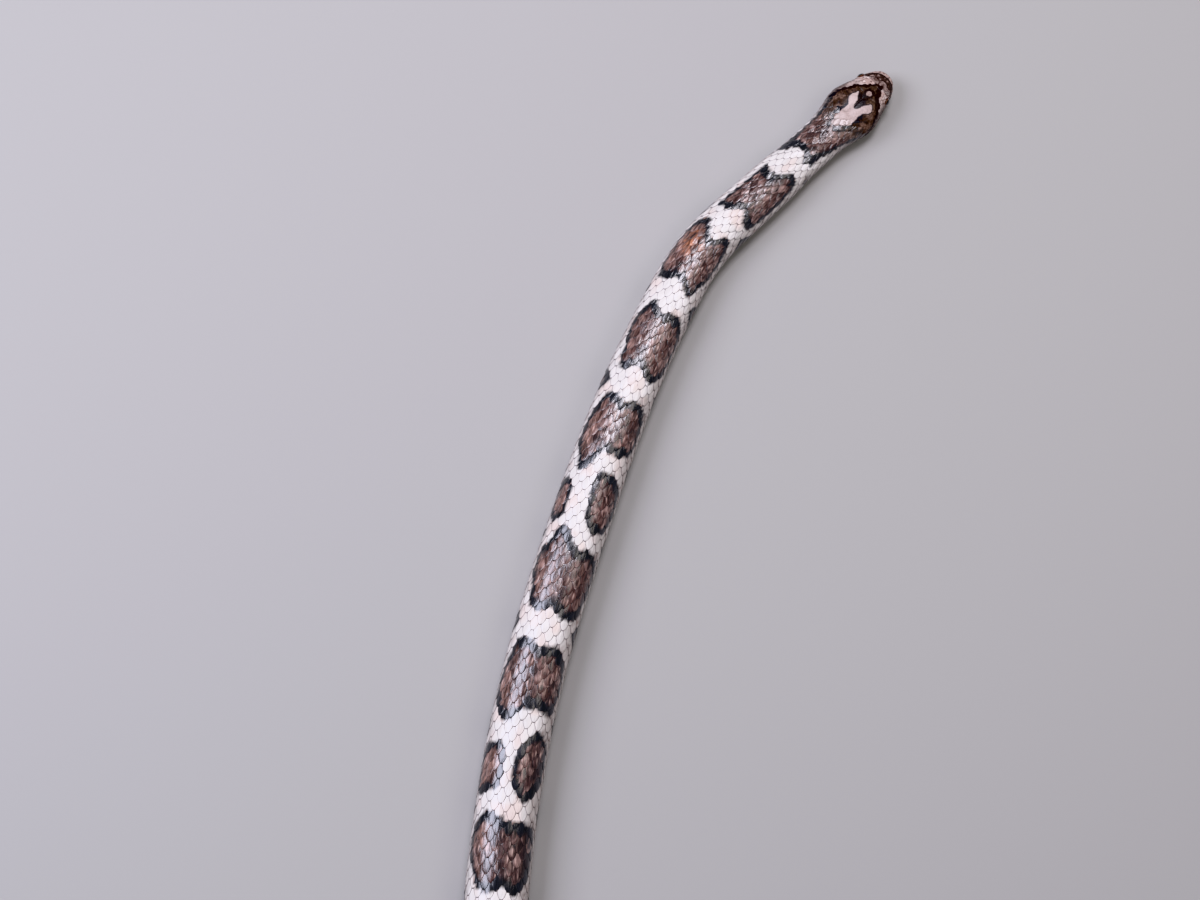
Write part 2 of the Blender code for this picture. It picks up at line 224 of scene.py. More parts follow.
def skin_at(back, share):
    """Left, height and outward direction of the outer surface, read between the grid's points."""
    row = np.clip(np.asarray(back, float) / GRID_STEP, 0, len(GRID_BACK) - 1.001)
    turned = (np.asarray(share, float) + 1) % 2
    column = np.clip(turned / 2 * (GIRTH_SAMPLES - 1), 0, GIRTH_SAMPLES - 1.001)
    i, j = row.astype(int), column.astype(int)
    f, g = (row - i)[..., None], (column - j)[..., None]
    ahead, behind = (SKIN[k, j] * (1 - g) + SKIN[k, j + 1] * g for k in (i, i + 1))
    return ahead * (1 - f) + behind * f


def place(back, left, height):
    """Points in metres, from distances back, left and up."""
    x, y, facing = (np.interp(back, ALONG, values) for values in (ROUTE_X, ROUTE_Y, FACING))
    lift = HEAD_RAISE * step(1 - back / RAISE_END, 0, 1)
    return np.stack((x - np.sin(facing) * left, y + np.cos(facing) * left, height + lift), -1) * MM


def heading(back):
    """The ways ahead and to the left at a distance back, level with the floor."""
    facing = float(np.interp(back, ALONG, FACING))
    ahead = np.array((math.cos(facing), math.sin(facing), 0))
    return ahead, np.array((-ahead[1], ahead[0], 0))


def wrap(back, share, off):
    """Points in metres, this far off the outer surface."""
    left, height, out_left, out_up = np.moveaxis(skin_at(back, share), -1, 0)
    return place(back, left + out_left * off, height + out_up * off)


def depth_at(back):
    """How deep the scales are: less where the tail is thin."""
    return SCALE_DEPTH * np.clip(smooth(HALF_WIDTHS, back) / FULL_DEPTH_WIDTH, 0, 1)


def belly_share(back):
    """The share of the girth at which the belly begins."""
    return np.interp(back, GRID_BACK, EDGE_SHARE)


def girth_mm(back, share):
    """How far round from the middle of the back, in millimetres."""
    return share * np.interp(back, GRID_BACK, HALF_GIRTH)


# Markings

# Saddles that the photograph shows, each an outline of distance back and millimetres round the girth
SADDLES = [
    ((35.4, 4.1), (36.1, 3), (36, 0.1), (34.6, -0.9), (32.9, -2.5), (33.7, -4.5), (36, -5.6), (42, -6.2),
     (48.5, -5.8), (49.7, -4.4), (49.4, -2.4), (47.6, -0.9), (48.3, 0.4), (50, 2), (50.4, 3.6), (50, 4.9),
     (41.7, 4.6)),
    ((57, 6.4), (54, 3.7), (54, 2.9), (56.4, 0.7), (56.9, -1.2), (55, -2.3), (54.4, -3.7), (55.5, -4.8),
     (61, -6.6), (66, -6.6), (69, -5), (72, -4.1), (71.9, -2.4), (69.9, -0.4), (69.6, 0.9), (70.7, 3.4),
     (70.7, 5), (70, 6.4), (64, 7.2)),
    ((80.4, 6), (77.7, 4.7), (76, 3.6), (76.1, 2.7), (77.6, 0.9), (77.7, -0.6), (77, -2.4), (77.1, -4.1),
     (78.5, -5.5), (81.5, -7.5), (88, -7.8), (92.2, -6.8), (94, -5), (93.8, -3.2), (92.1, -0.7),
     (91.8, 0.4), (93.3, 2.2), (93.5, 3.3), (92.3, 4.6), (88, 5.3), (84.5, 6.3)),
    ((106, 7), (101.6, 5.4), (99.3, 3.8), (98.9, 2), (99.8, 0.1), (99.8, -1.2), (99, -2.4), (99.2, -4.2),
     (100.4, -5.6), (104, -7.7), (110, -7.7), (112.3, -5.8), (112.7, -3), (112.6, -0.3), (115.4, 1.5),
     (117.6, 3.1), (118, 4.3), (116.8, 5.1), (114.5, 6.2), (111, 7.8)),
    ((117.2, -0.6), (120.2, 0.05), (123, -0.3), (126.5, -0.6), (129, -1.5), (130.4, -2.7), (131, -4.2),
     (130.6, -6.6), (127, -8.9), (121, -8.7), (118, -6.3), (116.8, -3.9), (116.6, -2)),
    ((120.3, 7), (121, 4.9), (123, 4.1), (126, 3.8), (129, 4), (130.2, 5.3), (130.9, 6.8), (128, 9.5),
     (123, 9.5)),
    ((137, 7.4), (135.2, 5.5), (131.4, 3.8), (130.8, 2.6), (131.7, 1.1), (134.5, -1.1), (134.9, -3),
     (134.9, -5), (137, -8.5), (143, -9.2), (149.5, -7.5), (151.2, -5.4), (151.5, -3.5), (149.9, -0.3),
     (150.3, 1.5), (151, 3.2), (150.2, 5.6), (147, 6.2), (143, 8)),
    ((163, 7.5), (160.5, 6.5), (158, 6.2), (157.1, 4.2), (157.3, 1.8), (158, 0.6), (158, -1.3), (157.3, -3),
     (157.6, -4.7), (159, -6.3), (162, -8.1), (168, -8.9), (172.6, -7.4), (173.2, -6), (172.5, -3.2),
     (172.3, -1.5), (173, 0.3), (175.6, 2.3), (175.8, 3.5), (175.5, 5.5), (174.2, 6.6), (172, 8.6),
     (168, 9)),
    ((176.8, -4.6), (177.8, -2.9), (179.8, -1.3), (183, -0.2), (187, -0.05), (189.5, -0.6), (192.3, -2.3),
     (193.1, -3.6), (192.3, -5), (190.5, -6.9), (187, -9), (181, -8.8), (177.8, -6.2)),
    ((181, 6.4), (180.3, 3.9), (181.5, 2.3), (185, 1.95), (189.3, 2.05), (191, 3), (191.4, 4.5),
     (192.4, 6.7), (192.5, 9), (187, 9.9), (182.5, 8.8)),
    ((200.5, 8.3), (197, 5.8), (195.3, 3.6), (196.2, 1.4), (197.2, -0.8), (197.4, -5), (198.5, -7.7),
     (203, -9.2), (209.5, -8.2), (212.7, -5.5), (213.6, -3.8), (212.4, -2.3), (211.8, -1.2), (212.9, 0.9),
     (213.5, 2.6), (212.2, 5), (209.5, 6.4), (206, 8.4)),
]
UNSEEN_FROM, UNSEEN_SPACING = 219.5, ((219, 21), (430, 21.5), (600, 19), (690, 15.5), (800, 9))
SADDLE_SHARE, UNSEEN_REACH, UNEVEN = 0.76, 0.42, 0.06
# The outline of an unseen saddle, in shares of its length and of how far it reaches down the sides
UNSEEN_OUTLINE = (
    (0, 0.45), (0.05, 0), (0, -0.45), (0.12, -0.8), (0.35, -1), (0.7, -1), (0.93, -0.8), (1, -0.45),
    (0.94, 0), (1, 0.45), (0.9, 0.8), (0.65, 1), (0.3, 1), (0.1, 0.8),
)
# How much narrower the black border is across the body than along it, for saddles that reach wider than
# WIDE_SADDLE and for smaller ones, and how wide it is
SADDLE_SQUEEZE, BLOTCH_SQUEEZE, BORDER_WIDTH = 2.6, 1.6, 2.4
WIDE_SADDLE = 10.1
WIDER_BORDERS = (90, 120)
# Blotches low on the sides: distance back, and how far up the side each begins
SIDE_BLOTCHES = [
    (29.7, -4.9), (51.8, -6.4), (74.6, -5.7), (96.5, -8.6), (115, -8.8), (133, -9.3), (154, -7.2),
    (175, -9.2), (195.3, -9.3), (216, -8.8), (32.5, 6.9), (52.3, 7), (73.6, 7.4), (96.6, 5.1), (119, 9.3),
    (133.5, 8.9), (154.3, 7.4), (178, 9), (195, 9.2), (215.5, 8.6),
]
SIDE_BLOTCH_LENGTH = 2.7
# Where the saddles turn duller and the painted shade on their right sides deepens, where one has a painted
# orange highlight, and where the tail ends black
DUSKY = (150, 195)
WARM_GLINT_PATCH, WARM_GLINT_RADIUS = (60.5, 2.6), 3.4
DARK_TIP_FROM = 795.5
# The dark cap of the head and nape, the pale mark on it and the spot in front, as distance back and
# millimetres round the girth
CAP = (
    (3.6, -1.2), (4.4, -1.5), (5, -2.4), (6, -2.5), (6.6, -3.3), (7.3, -4.3), (8.3, -5), (9.3, -5.8),
    (10.3, -6.6), (11.6, -8.4), (13, -8.7), (15, -8.1), (17.2, -6.8), (20, -5.4), (22.5, -4.8), (25, -4.1),
    (26.8, -3.7), (28.7, -3.8), (29.3, -2.1), (28.8, -1.2), (27.7, 0.1), (27.6, 1), (28.6, 2.6),
    (30.4, 3.5), (31, 5), (30.6, 6.6), (28, 6.4), (25, 5.7), (22, 5.3), (18, 5.2), (15.5, 5.7), (13.2, 6.4),
    (11.1, 5.7), (9.9, 4.8), (8.8, 4.2), (7.7, 3.8), (6.5, 2.4), (5.8, 1.8), (5, 1.4), (4.6, 0.7),
    (3.9, 0.6), (3.65, -0.2),
)
CROWN_MARK = (
    (8.5, 1.75), (9.5, 1.15), (10.2, 0.5), (11.5, 0.2), (12.2, -0.45), (11.5, -1.15), (10.3, -1.5),
    (9.4, -2.05), (8.6, -2.55), (9.2, -3.4), (9.9, -3.75), (10.7, -3.5), (11.5, -2.75), (12.9, -2.5),
    (13.9, -2.65), (14.7, -2.6), (15.8, -2.4), (17, -1.4), (18.2, -0.4), (18.3, 0.6), (16.9, 1.2),
    (15.8, 1.45), (14.4, 1.3), (13.3, 1.2), (12.4, 1.2), (11.6, 1.95), (10.9, 2.4), (10, 2.4), (9.3, 2),
)
FRONTAL_SPOT, FRONTAL_SPOT_RADIUS = (7.1, -0.4), 0.62
WEDGE, WEDGE_LENGTH, WEDGE_WIDTH = (10.1, -0.15), 1.9, 1.5
# Pale spots of the band over the eyes, as distance back, millimetres round the girth and size
BAND_SPOTS = (
    (4.1, 3.15, 0.8), (5.9, 2.75, 0.45), (3.1, 2.5, 0.3), (3.5, -3.05, 0.6), (5, -3.3, 0.5),
    (6.4, -3.95, 0.45), (4.3, 0.1, 0.25), (4.2, -1.9, 0.3),
)
# Where the band ends, where the lips' colour and the nape's end, and where the head's painting ends
BAND_END, LIPS_FADE, NAPE_FADE, HEAD_PAINT_END = 6.8, (14, 24), (29, 32), 36
# A distance that stands for any point far outside
FAR = 9.0


def unseen_saddles():
    """Saddles for the body that the photograph cuts off, in the same style, a little uneven."""
    draw = np.random.default_rng(7)
    front = UNSEEN_FROM
    while front < LENGTH - 4:
        spacing = float(smooth(UNSEEN_SPACING, front)) * draw.uniform(0.93, 1.07)
        length = spacing * SADDLE_SHARE
        half_girth = float(girth_mm(front, 1))
        reach = half_girth * UNSEEN_REACH
        jogs = draw.uniform(-UNEVEN, UNEVEN, 8) * length
        reaches = draw.uniform(0.92, 1.08, 2) * reach
        outline, jog = [], iter(jogs)
        for along, across in UNSEEN_OUTLINE:
            if abs(across) < 0.5:
                outline.append((front + along * length + next(jog), across * reach))
            else:
                outline.append((front + along * length, across * reaches[int(across > 0)]))
        SADDLES.append(outline)
        gap = front + length + (spacing - length) / 2
        for side, shift in ((1, jogs[7]), (-1, jogs[6])):
            SIDE_BLOTCHES.append((gap + shift, side * half_girth * draw.uniform(0.37, 0.44)))
        front += spacing


unseen_saddles()


def rounded(outline, pieces=4):
    """A closed outline through the same points, bent smoothly."""
    points = np.array(outline, float)
    before, after, beyond = (np.roll(points, -k, axis=0) for k in (-1, 1, 2))
    found = []
    for a, b, c, d in zip(before, points, after, beyond):
        for t in np.arange(pieces) / pieces:
            found.append(0.5 * (2 * b + (c - a) * t + (2 * a - 5 * b + 4 * c - d) * t ** 2
                                + (3 * b - a - 3 * c + d) * t ** 3))
    return np.array(found)


def inside_distance(back, girth, outline, squeeze=1):
    """How far inside a rounded outline points lie, below zero outside; far ones are only marked so."""
    line = rounded(outline)
    found = np.full(np.shape(back), -FAR)
    near = (back > line[:, 0].min() - FAR / 2) & (back < line[:, 0].max() + FAR / 2)
    if not near.any():
        return found
    line = line * (1, squeeze)
    at = np.stack((back[near], girth[near] * squeeze), -1)
    nearest = np.full(len(at), FAR)
    inside = np.zeros(len(at), bool)
    for a, b in zip(line, np.roll(line, -1, axis=0)):
        run = b - a
        t = np.clip((at - a) @ run / max(run @ run, 1e-12), 0, 1)
        nearest = np.minimum(nearest, np.linalg.norm(at - a - t[:, None] * run, axis=1))
        crosses = (a[1] > at[:, 1]) != (b[1] > at[:, 1])
        inside ^= crosses & (at[:, 0] < run[0] * (at[:, 1] - a[1]) / (run[1] or 1e-12) + a[0])
    found[near] = np.where(inside, nearest, -nearest)
    return found


def saddle_depth(back, girth):
    """How far inside a saddle or a blotch of the sides points lie, in widths of its black border."""
    found = np.full(np.shape(back), -FAR)
    for outline in SADDLES:
        extent = np.ptp(np.array(outline)[:, 1])
        squeeze = SADDLE_SQUEEZE if extent > WIDE_SADDLE else BLOTCH_SQUEEZE
        wide = BORDER_WIDTH * min(1, 0.35 + extent / 18) * (1 + 0.15 * step(outline[0][0], *WIDER_BORDERS))
        found = np.maximum(found, inside_distance(back, girth, outline, squeeze) / wide)
    for at, top in SIDE_BLOTCHES:
        half_girth = float(girth_mm(at, 1))
        low = 0.92 * half_girth * float(belly_share(at))
        middle, tall = (abs(top) + low) / 2, (low - abs(top)) / 2
        long = SIDE_BLOTCH_LENGTH * min(1, half_girth / 15)
        off = np.hypot((back - at) / long, (girth - math.copysign(middle, top)) / tall)
        found = np.maximum(found, (1 - off) * 2)
    return found


def mix(first, second, share):
    """Colours between two, by a share for each point."""
    share = np.clip(share, 0, 1)[..., None]
    return first * (1 - share) + second * share


def patchy(back, girth, size, seed):
    """Smooth uneven patches between 0 and 1, this many millimetres apart."""
    table = np.random.default_rng(seed).random((61, 67))
    x, y = back / size, girth / size
    i, j = np.floor(x).astype(int), np.floor(y).astype(int)
    f, g = step(x - i, 0, 1), step(y - j, 0, 1)
    near, far = (table[i % 61, k % 67] * (1 - f) + table[(i + 1) % 61, k % 67] * f for k in (j, j + 1))
    return near * (1 - g) + far * g


def paint(back, share, blur, tint=None):
    """The animal's colour at points: blur is how soft, in millimetres, its edges are.

    tint holds three chances from 0 to 1 for each point, which a scale's points share.
    """
    if tint is None:
        tint = np.full((*np.shape(back), 3), 0.5)
    girth = girth_mm(back, share)
    patches = partial(patchy, back, girth)
    # The flanks turn greyer, their own colour, and the right flank from higher up and darker than the left,
    # as painted shade
    flank_grey_and_shade = np.maximum(step(-girth, 3.4, 8), 0.8 * step(girth, 6, 10))
    pale = mix(PALE, PALE_PINK, 0.8 * (1 - flank_grey_and_shade) * step(patches(2.4, 1), 0.45, 0.95))
    pale = mix(pale, PALE_SHADE, flank_grey_and_shade * (0.55 + 0.6 * patches(1.5, 2)))
    pale = mix(pale, LIP_DARK, step(patches(0.55, 3), 0.62, 0.85) * (0.07 + 0.75 * flank_grey_and_shade))
    # Saddles turn darker behind DUSKY; BROWN_DARK on their right side is painted shade, deeper behind DUSKY
    dusky = step(back, *DUSKY)
    brown = mix(BROWN, BROWN_DARK, 0.35 * dusky + step(-girth, 2, 9) * (0.4 + 0.6 * dusky))
    brown = mix(brown, BROWN_RED, step(girth, 2.5, 5.5) * (0.5 + 0.5 * tint[..., 1]))
    brown = mix(brown, BROWN_DARK, 0.7 * step(patches(1.1, 4), 0.5, 0.9))
    brown = mix(brown, BROWN_PINK, 0.75 * step(patches(0.8, 5) + 0.25 * tint[..., 2], 0.72, 1))
    # Painted highlight: a patch of orange glint on the left of the second saddle
    warm_glint = step(WARM_GLINT_RADIUS - np.hypot((back - WARM_GLINT_PATCH[0]) * 0.8, girth - WARM_GLINT_PATCH[1]), 0, 1.5)
    warm_glint = warm_glint * step(patchy(back * 0.35, girth, 0.35, 10), 0.35, 0.7)
    brown = mix(brown, WARM_GLINT, 0.65 * warm_glint)

    ragged = 0.3 * (patches(0.7, 6) - 0.5)
    saddle = saddle_depth(back, girth) + ragged / 2
    colour = mix(pale, BLACK, step(saddle, -blur / 2, blur / 2))
    colour = mix(colour, brown, step(saddle + 1.4 * ragged, 0.95 - blur, 0.95 + blur))
    colour = mix(colour, BLACK, step(back, DARK_TIP_FROM, DARK_TIP_FROM + 1.5))
    ahead = back < HEAD_PAINT_END
    if ahead.any():
        under = smooth(UNDERSIDES, back)
        level = under + WIDEST_LEVEL * (smooth(TOPS, back) - under)
        upper = skin_at(back, share)[..., 1] > level
        colour[ahead] = paint_head(*(v[ahead] for v in (back, girth, upper, colour, pale, brown)), blur)
    return colour


def paint_head(back, girth, upper, colour, pale, brown, blur):
    """Colours of the head and nape, over those of the body."""
    def within(distance, soft=blur / 2):
        return step(distance, -soft, soft)

    coarse, fine, finest = (patchy(back, girth, *patch) for patch in ((1.2, 7), (0.5, 8), (0.26, 9)))
    lips = mix(LIP_PINK, LIP_DARK, 0.5 * step(coarse, 0.35, 0.9) + 0.4 * step(fine, 0.6, 0.9))
    # Painted shade: the lips darken low on both sides, where the head's side turns away beneath it
    lips = mix(lips, LIP_DARK * 0.42, 0.88 * step(np.abs(girth), 4.4, 6))
    lips = mix(lips, pale, step(back, *LIPS_FADE))
    colour = mix(lips, colour, step(back, *NAPE_FADE))
    band = mix(SNOUT_BAND, BAND_DARK, 0.7 * step(fine, 0.5, 0.85))
    colour = mix(colour, band, step(BAND_END - back, 0, 1.5) * upper)
    for at, off, size in BAND_SPOTS:
        from_edge = size - np.hypot(back - at, girth - off) + 0.7 * (fine - 0.5)
        colour = mix(colour, BAND_DARK, 0.6 * within(from_edge + 0.16) * upper)
        colour = mix(colour, BAND_PALE * (0.8 + 0.4 * finest[..., None]), within(from_edge) * upper)

    cap = inside_distance(back, girth, CAP) + 0.55 * (fine - 0.5)
    olive = step(10.8 - back, 0, 2.5) * step(girth + 4.2, 0, 1) * step(2.6 - girth, 0, 1)
    cap_brown = mix(CAP_BROWN, CAP_RED, step(coarse, 0.3, 0.8))
    cap_brown = mix(cap_brown, CAP_OLIVE, olive * (0.4 + 0.6 * coarse))
    cap_brown = mix(cap_brown, BLACK, 0.6 * step(fine, 0.6, 0.9) * step(back, 4, 7))
    cap_brown = mix(cap_brown, brown, step(back, 15, 21))
    rim = 0.7 + 0.45 * step(coarse, 0.4, 0.8) + 1.35 * step(back, 23.5, 27.5)
    colour = mix(colour, mix(SEAM_BROWN * 0.4, BLACK, step(back, 8, 16)), within(cap))
    colour = mix(colour, cap_brown, step(cap, rim - blur / 2, rim + blur))

    mark = inside_distance(back, girth, CROWN_MARK)
    border = 0.2 + (1.3 * step(back, 11.5, 13)) * step(fine + 0.5 * coarse, 0.3, 1.1)
    colour = mix(colour, BLACK, within(mark + border, blur))
    across = girth - WEDGE[1] + 0.3 * (back - 10)
    wedge = np.hypot((back - WEDGE[0]) / WEDGE_LENGTH, across / WEDGE_WIDTH)
    colour = mix(colour, SEAM_BROWN * 0.3, within(1.1 - wedge, 0.2) * upper)
    flecks = step(finest, 0.75, 0.95) * (0.1 + 0.3 * step(back, 14, 17))
    colour = mix(colour, mix(MARK_PALE, SPOT_PALE, 0.4 * coarse + flecks), within(mark))
    from_spot = np.hypot(back - FRONTAL_SPOT[0], girth - FRONTAL_SPOT[1])
    spot = FRONTAL_SPOT_RADIUS - from_spot + 0.6 * (fine - 0.5)
    colour = mix(colour, SEAM_BROWN * 0.4, within(spot + 0.7, blur) * upper)
    colour = mix(colour, SPOT_PALE, within(spot) * upper)

    arc = back - 0.95 - 0.1 * (girth + 0.8) ** 2
    rear = 2.35 + 0.1 * (girth + 1) ** 2 - back + 0.4 * (fine - 0.5)
    inside = np.minimum(arc, rear)
    snout = mix(SNOUT_BROWN, SNOUT_BAND, 0.55 * step(fine, 0.55, 0.85) * step(girth, -2.5, 0.5))
    colour = mix(colour, snout, within(inside) * upper)
    line = np.maximum((0.17 - np.abs(arc)) * (rear > 0), 0.1 - np.abs(inside))
    return mix(colour, SEAM_BROWN * 0.5, within(line) * upper * (back < 4.2))


# Building

ATTRIBUTE_KINDS = {1: ("FLOAT", "value"), 3: ("FLOAT_VECTOR", "vector"), 4: ("FLOAT_COLOR", "color")}


def add_object(name, data):
    """An object in the scene, at the origin."""
    made = bpy.data.objects.new(name, data)
    bpy.context.scene.collection.objects.link(made)
    return made


def make_object(name, points, faces):
    """A smooth mesh object from points in metres and faces of any number of corners."""
    mesh = bpy.data.meshes.new(name)
    mesh.from_pydata(points, [], faces)
    mesh.validate()
    mesh.shade_smooth()
    return add_object(name, mesh)


def face_outwards(mesh):
    """Turn the faces of a closed mesh so that they point out of it."""
    builder = bmesh.new()
    builder.from_mesh(mesh)
    bmesh.ops.recalc_face_normals(builder, faces=builder.faces)
    builder.to_mesh(mesh)
    builder.free()


def set_attribute(mesh, name, values):
    """Store a number, a vector or a colour for each point of a mesh."""
    values = np.asarray(values, np.float32).reshape(len(mesh.vertices), -1)
    kind, field = ATTRIBUTE_KINDS[values.shape[1]]
    mesh.attributes.new(name, kind, "POINT").data.foreach_set(field, values.ravel())


def set_tone(mesh, colours):
    """Store the colour of each point of a mesh."""
    set_attribute(mesh, "tone", np.insert(colours, 3, 1, axis=1))


def read_vectors(mesh, name):
    """The vector stored for each point of a mesh."""
    values = np.zeros(len(mesh.vertices) * 3, np.float32)
    mesh.attributes[name].data.foreach_get("vector", values)
    return values.reshape(-1, 3)


# Nodes

def feed(made, inputs):
    """Set a node's inputs by name or number, or link them to another node or one of its outputs."""
    for socket, source in dict(inputs).items():
        if isinstance(source, bpy.types.Node):
            source = next(output for output in source.outputs if output.enabled)
        if isinstance(source, bpy.types.NodeSocket):
            made.id_data.links.new(source, made.inputs[socket])
        else:
            made.inputs[socket].default_value = source


def add_node(tree, kind, inputs=(), **settings):
    """A node with its settings and inputs; ShaderNode is left out of a shader node's kind."""
    made = tree.nodes.new(kind if "Node" in kind else "ShaderNode" + kind)
    for name, value in settings.items():
        setattr(made, name, value)
    feed(made, inputs)
    return made


def new_material(name):
    """A material with its shader, and what adds nodes to it."""
    material = bpy.data.materials.new(name)
    material.use_nodes = True
    tree = material.node_tree
    return material, tree.nodes["Principled BSDF"], partial(add_node, tree)


def mottled(node, tone, where, scale, strongest):
    """The colour of a tone whose brown pigment is uneven: dark grains, and light ones here and there that are
    partly pigment and partly painted glints.

    The other results are the dark grains' noise, and how brown the tone is.
    """
    fine = node("TexNoise", {"Vector": where, "Scale": scale, "Detail": 3, "Roughness": 0.7})
    second = node("TexNoise", {"Vector": where, "Scale": 0.83 * scale, "Detail": 2, "W": 3},
                  noise_dimensions="4D")
    grey = node("RGBToBW", {0: tone})
    strength = node("MapRange", {0: grey, 1: 0.12, 2: 0.42, 3: strongest, 4: 0.1})
    swing = node("MapRange", {0: fine, 1: 0.37, 2: 0.63, 3: 0.3, 4: 1.8})
    factor = node("Mix", {"Factor": strength, 2: 1, 3: swing})
    uneven = node("VectorMath", {0: tone, "Scale": factor}, operation="SCALE")
    not_black = node("MapRange", {0: grey, 1: 0.014, 2: 0.035})
    # Light grains: partly pigment, partly painted glints
    light = node("MapRange", {0: second, 1: 0.57, 2: 0.67, 3: 0, 4: 0.45})
    brownness = node("Math", {0: not_black, 1: strength}, operation="MULTIPLY")
    grains = node("Math", {0: brownness, 1: light}, operation="MULTIPLY")
    colour = node("Mix", {"Factor": grains, 6: uneven, 7: (*LIGHT_GRAINS, 1)}, data_type="RGBA")
    return colour, fine, brownness


def scale_keratin():
    """Smooth keratin over pigment: glossy in the middle of a scale, dull and dark at its free edge, darkened
    there partly by its own colour and partly by painted shadow.
    """
    material, shader, node = new_material("scale_keratin")
    tone = node("Attribute", attribute_name="tone")
    depth = node("Attribute", attribute_name="relief").outputs["Fac"]
    petal, tint = (node("Attribute", attribute_name=name).outputs["Vector"] for name in ("petal", "tint"))
    across, along, outward = node("SeparateXYZ", {0: petal}).outputs
    chance, other_chance, third_chance = node("SeparateXYZ", {0: tint}).outputs
    stretched = node("VectorMath", {0: petal, 1: SCALE_GRAINS}, operation="MULTIPLY")
    streaks = node("VectorMath", {0: tint, 1: (50, 50, 50), 2: stretched}, operation="MULTIPLY_ADD")
    colour, speckle, brownness = mottled(node, tone, streaks, 1, 1)
    waves = node("TexNoise", {"Vector": streaks, "Scale": 1, "Detail": 1})
    lean = node("VectorMath", {0: tint, 1: (0.5, 0.5, 0.5)}, operation="SUBTRACT")
    leaning = node("VectorMath", {0: petal, 1: SCALE_LEAN}, operation="MULTIPLY")
    tilt = node("VectorMath", {0: lean, 1: leaning}, operation="DOT_PRODUCT")
    relief = node("Math", {0: waves, 1: tilt})
    # Painted highlights on brown scales, in GLINT: a short streak placed across each by its chances, and a
    # thin line along its rim
    lane = node("MapRange", {0: other_chance, 3: -0.9, 4: 0.9})
    aside = node("Math", {0: across, 1: lane}, operation="SUBTRACT")
    off = node("Math", {0: aside}, operation="ABSOLUTE")
    painted_glint = ((off, 0.04, 0.2, 0.8, 0), (along, 0.35, 0.5, 0, 1), (along, 0.6, 0.8, 1, 0),
             (chance, 0.5, 0.85, 0, 1))
    rim = ((outward, 0.76, 0.82, 0, 0.45), (outward, 0.84, 0.9, 1, 0), (third_chance, 0.3, 0.9, 0, 1),
           (speckle, 0.44, 0.58, 0, 1))
    for ranges in (painted_glint, rim):
        amount = brownness
        for source_and_range in ranges:
            part = node("MapRange", enumerate(source_and_range))
            amount = node("Math", {0: amount, 1: part}, operation="MULTIPLY")
        colour = node("Mix", {"Factor": amount, 6: colour, 7: (*GLINT, 1)}, data_type="RGBA")
    # A scale's rear edge darkens: partly its own colour, partly painted shadow along it
    begin = node("MapRange", {0: brownness, 3: 0.77, 4: 0.88})
    edge = node("MapRange", {0: outward, 1: begin, 2: 0.97}, interpolation_type="SMOOTHSTEP")
    left = node("Mix", {"Factor": brownness, 6: (*EDGE_TINT, 1), 7: (*BROWN_EDGE_TINT, 1)}, data_type="RGBA")
    edge_tinted_and_shaded = node("VectorMath", {0: colour, 1: left}, operation="MULTIPLY")
    toned = node("Mix", {"Factor": edge, 6: colour, 7: edge_tinted_and_shaded}, data_type="RGBA")
    rough = node("MapRange", {0: speckle, 1: 0.3, 2: 0.7, 3: 0.17, 4: 0.32})
    dull = node("MapRange", {0: edge, 3: 0, 4: 0.35})
    roughness = node("Math", {0: rough, 1: dull})
    grain = node("Bump", {"Height": relief, "Strength": 1, "Distance": depth})
    feed(shader, {"Base Color": toned, "Roughness": roughness, "Normal": grain, "IOR": 1.7,
                  "Coat Weight": 0.5, "Coat Roughness": 0.17})
    return material


def head_keratin():
    """The same keratin in larger shields, with finer mottling in the pigment."""
    material, shader, node = new_material("head_keratin")
    tone = node("Attribute", attribute_name="tone")
    where = node("TexCoord").outputs["Object"]
    colour, speckle, _ = mottled(node, tone, where, 1 / (HEAD_GRAIN * MM), 0.58)
    rough = node("MapRange", {0: speckle, 1: 0.3, 2: 0.7, 3: 0.2, 4: 0.36})
    grain = node("Bump", {"Height": speckle, "Strength": 0.35, "Distance": HEAD_RELIEF * MM})
    feed(shader, {"Base Color": colour, "Roughness": rough, "Normal": grain, "IOR": 1.4,
                  "Specular IOR Level": 0.22})
    return material


def eye_spectacle():
    """The eye under its clear scale: black pupil, dark red-brown iris, wet gloss."""
    material, shader, node = new_material("eye_spectacle")
    ring = node("Attribute", attribute_name="ring")
    ramp = node("ValToRGB", {0: ring.outputs["Fac"]})
    stops = ((0, "#030303"), (0.39, "#050404"), (0.42, "#7A5638"), (0.46, "#4A2619"), (0.8, "#331A12"),
             (0.98, "#0C0706"))
    for k, (at, colour) in enumerate(stops):
        stop = ramp.color_ramp.elements[k] if k < 2 else ramp.color_ramp.elements.new(at)
        stop.position = at
        stop.color = (*linear(colour), 1)
    feed(shader, {"Base Color": ramp, "Roughness": 0.12, "Coat Weight": 1, "Coat Roughness": 0.03})
    return material


# The skin

HEAD_ROUND, BODY_ROUND = 192, 48
HEAD_SKIN_END, SKIN_STEP = 21, 2.5
NOSE_RINGS, NOSE_DOME = (0.25, 0.5, 0.75, 0.92), 0.16

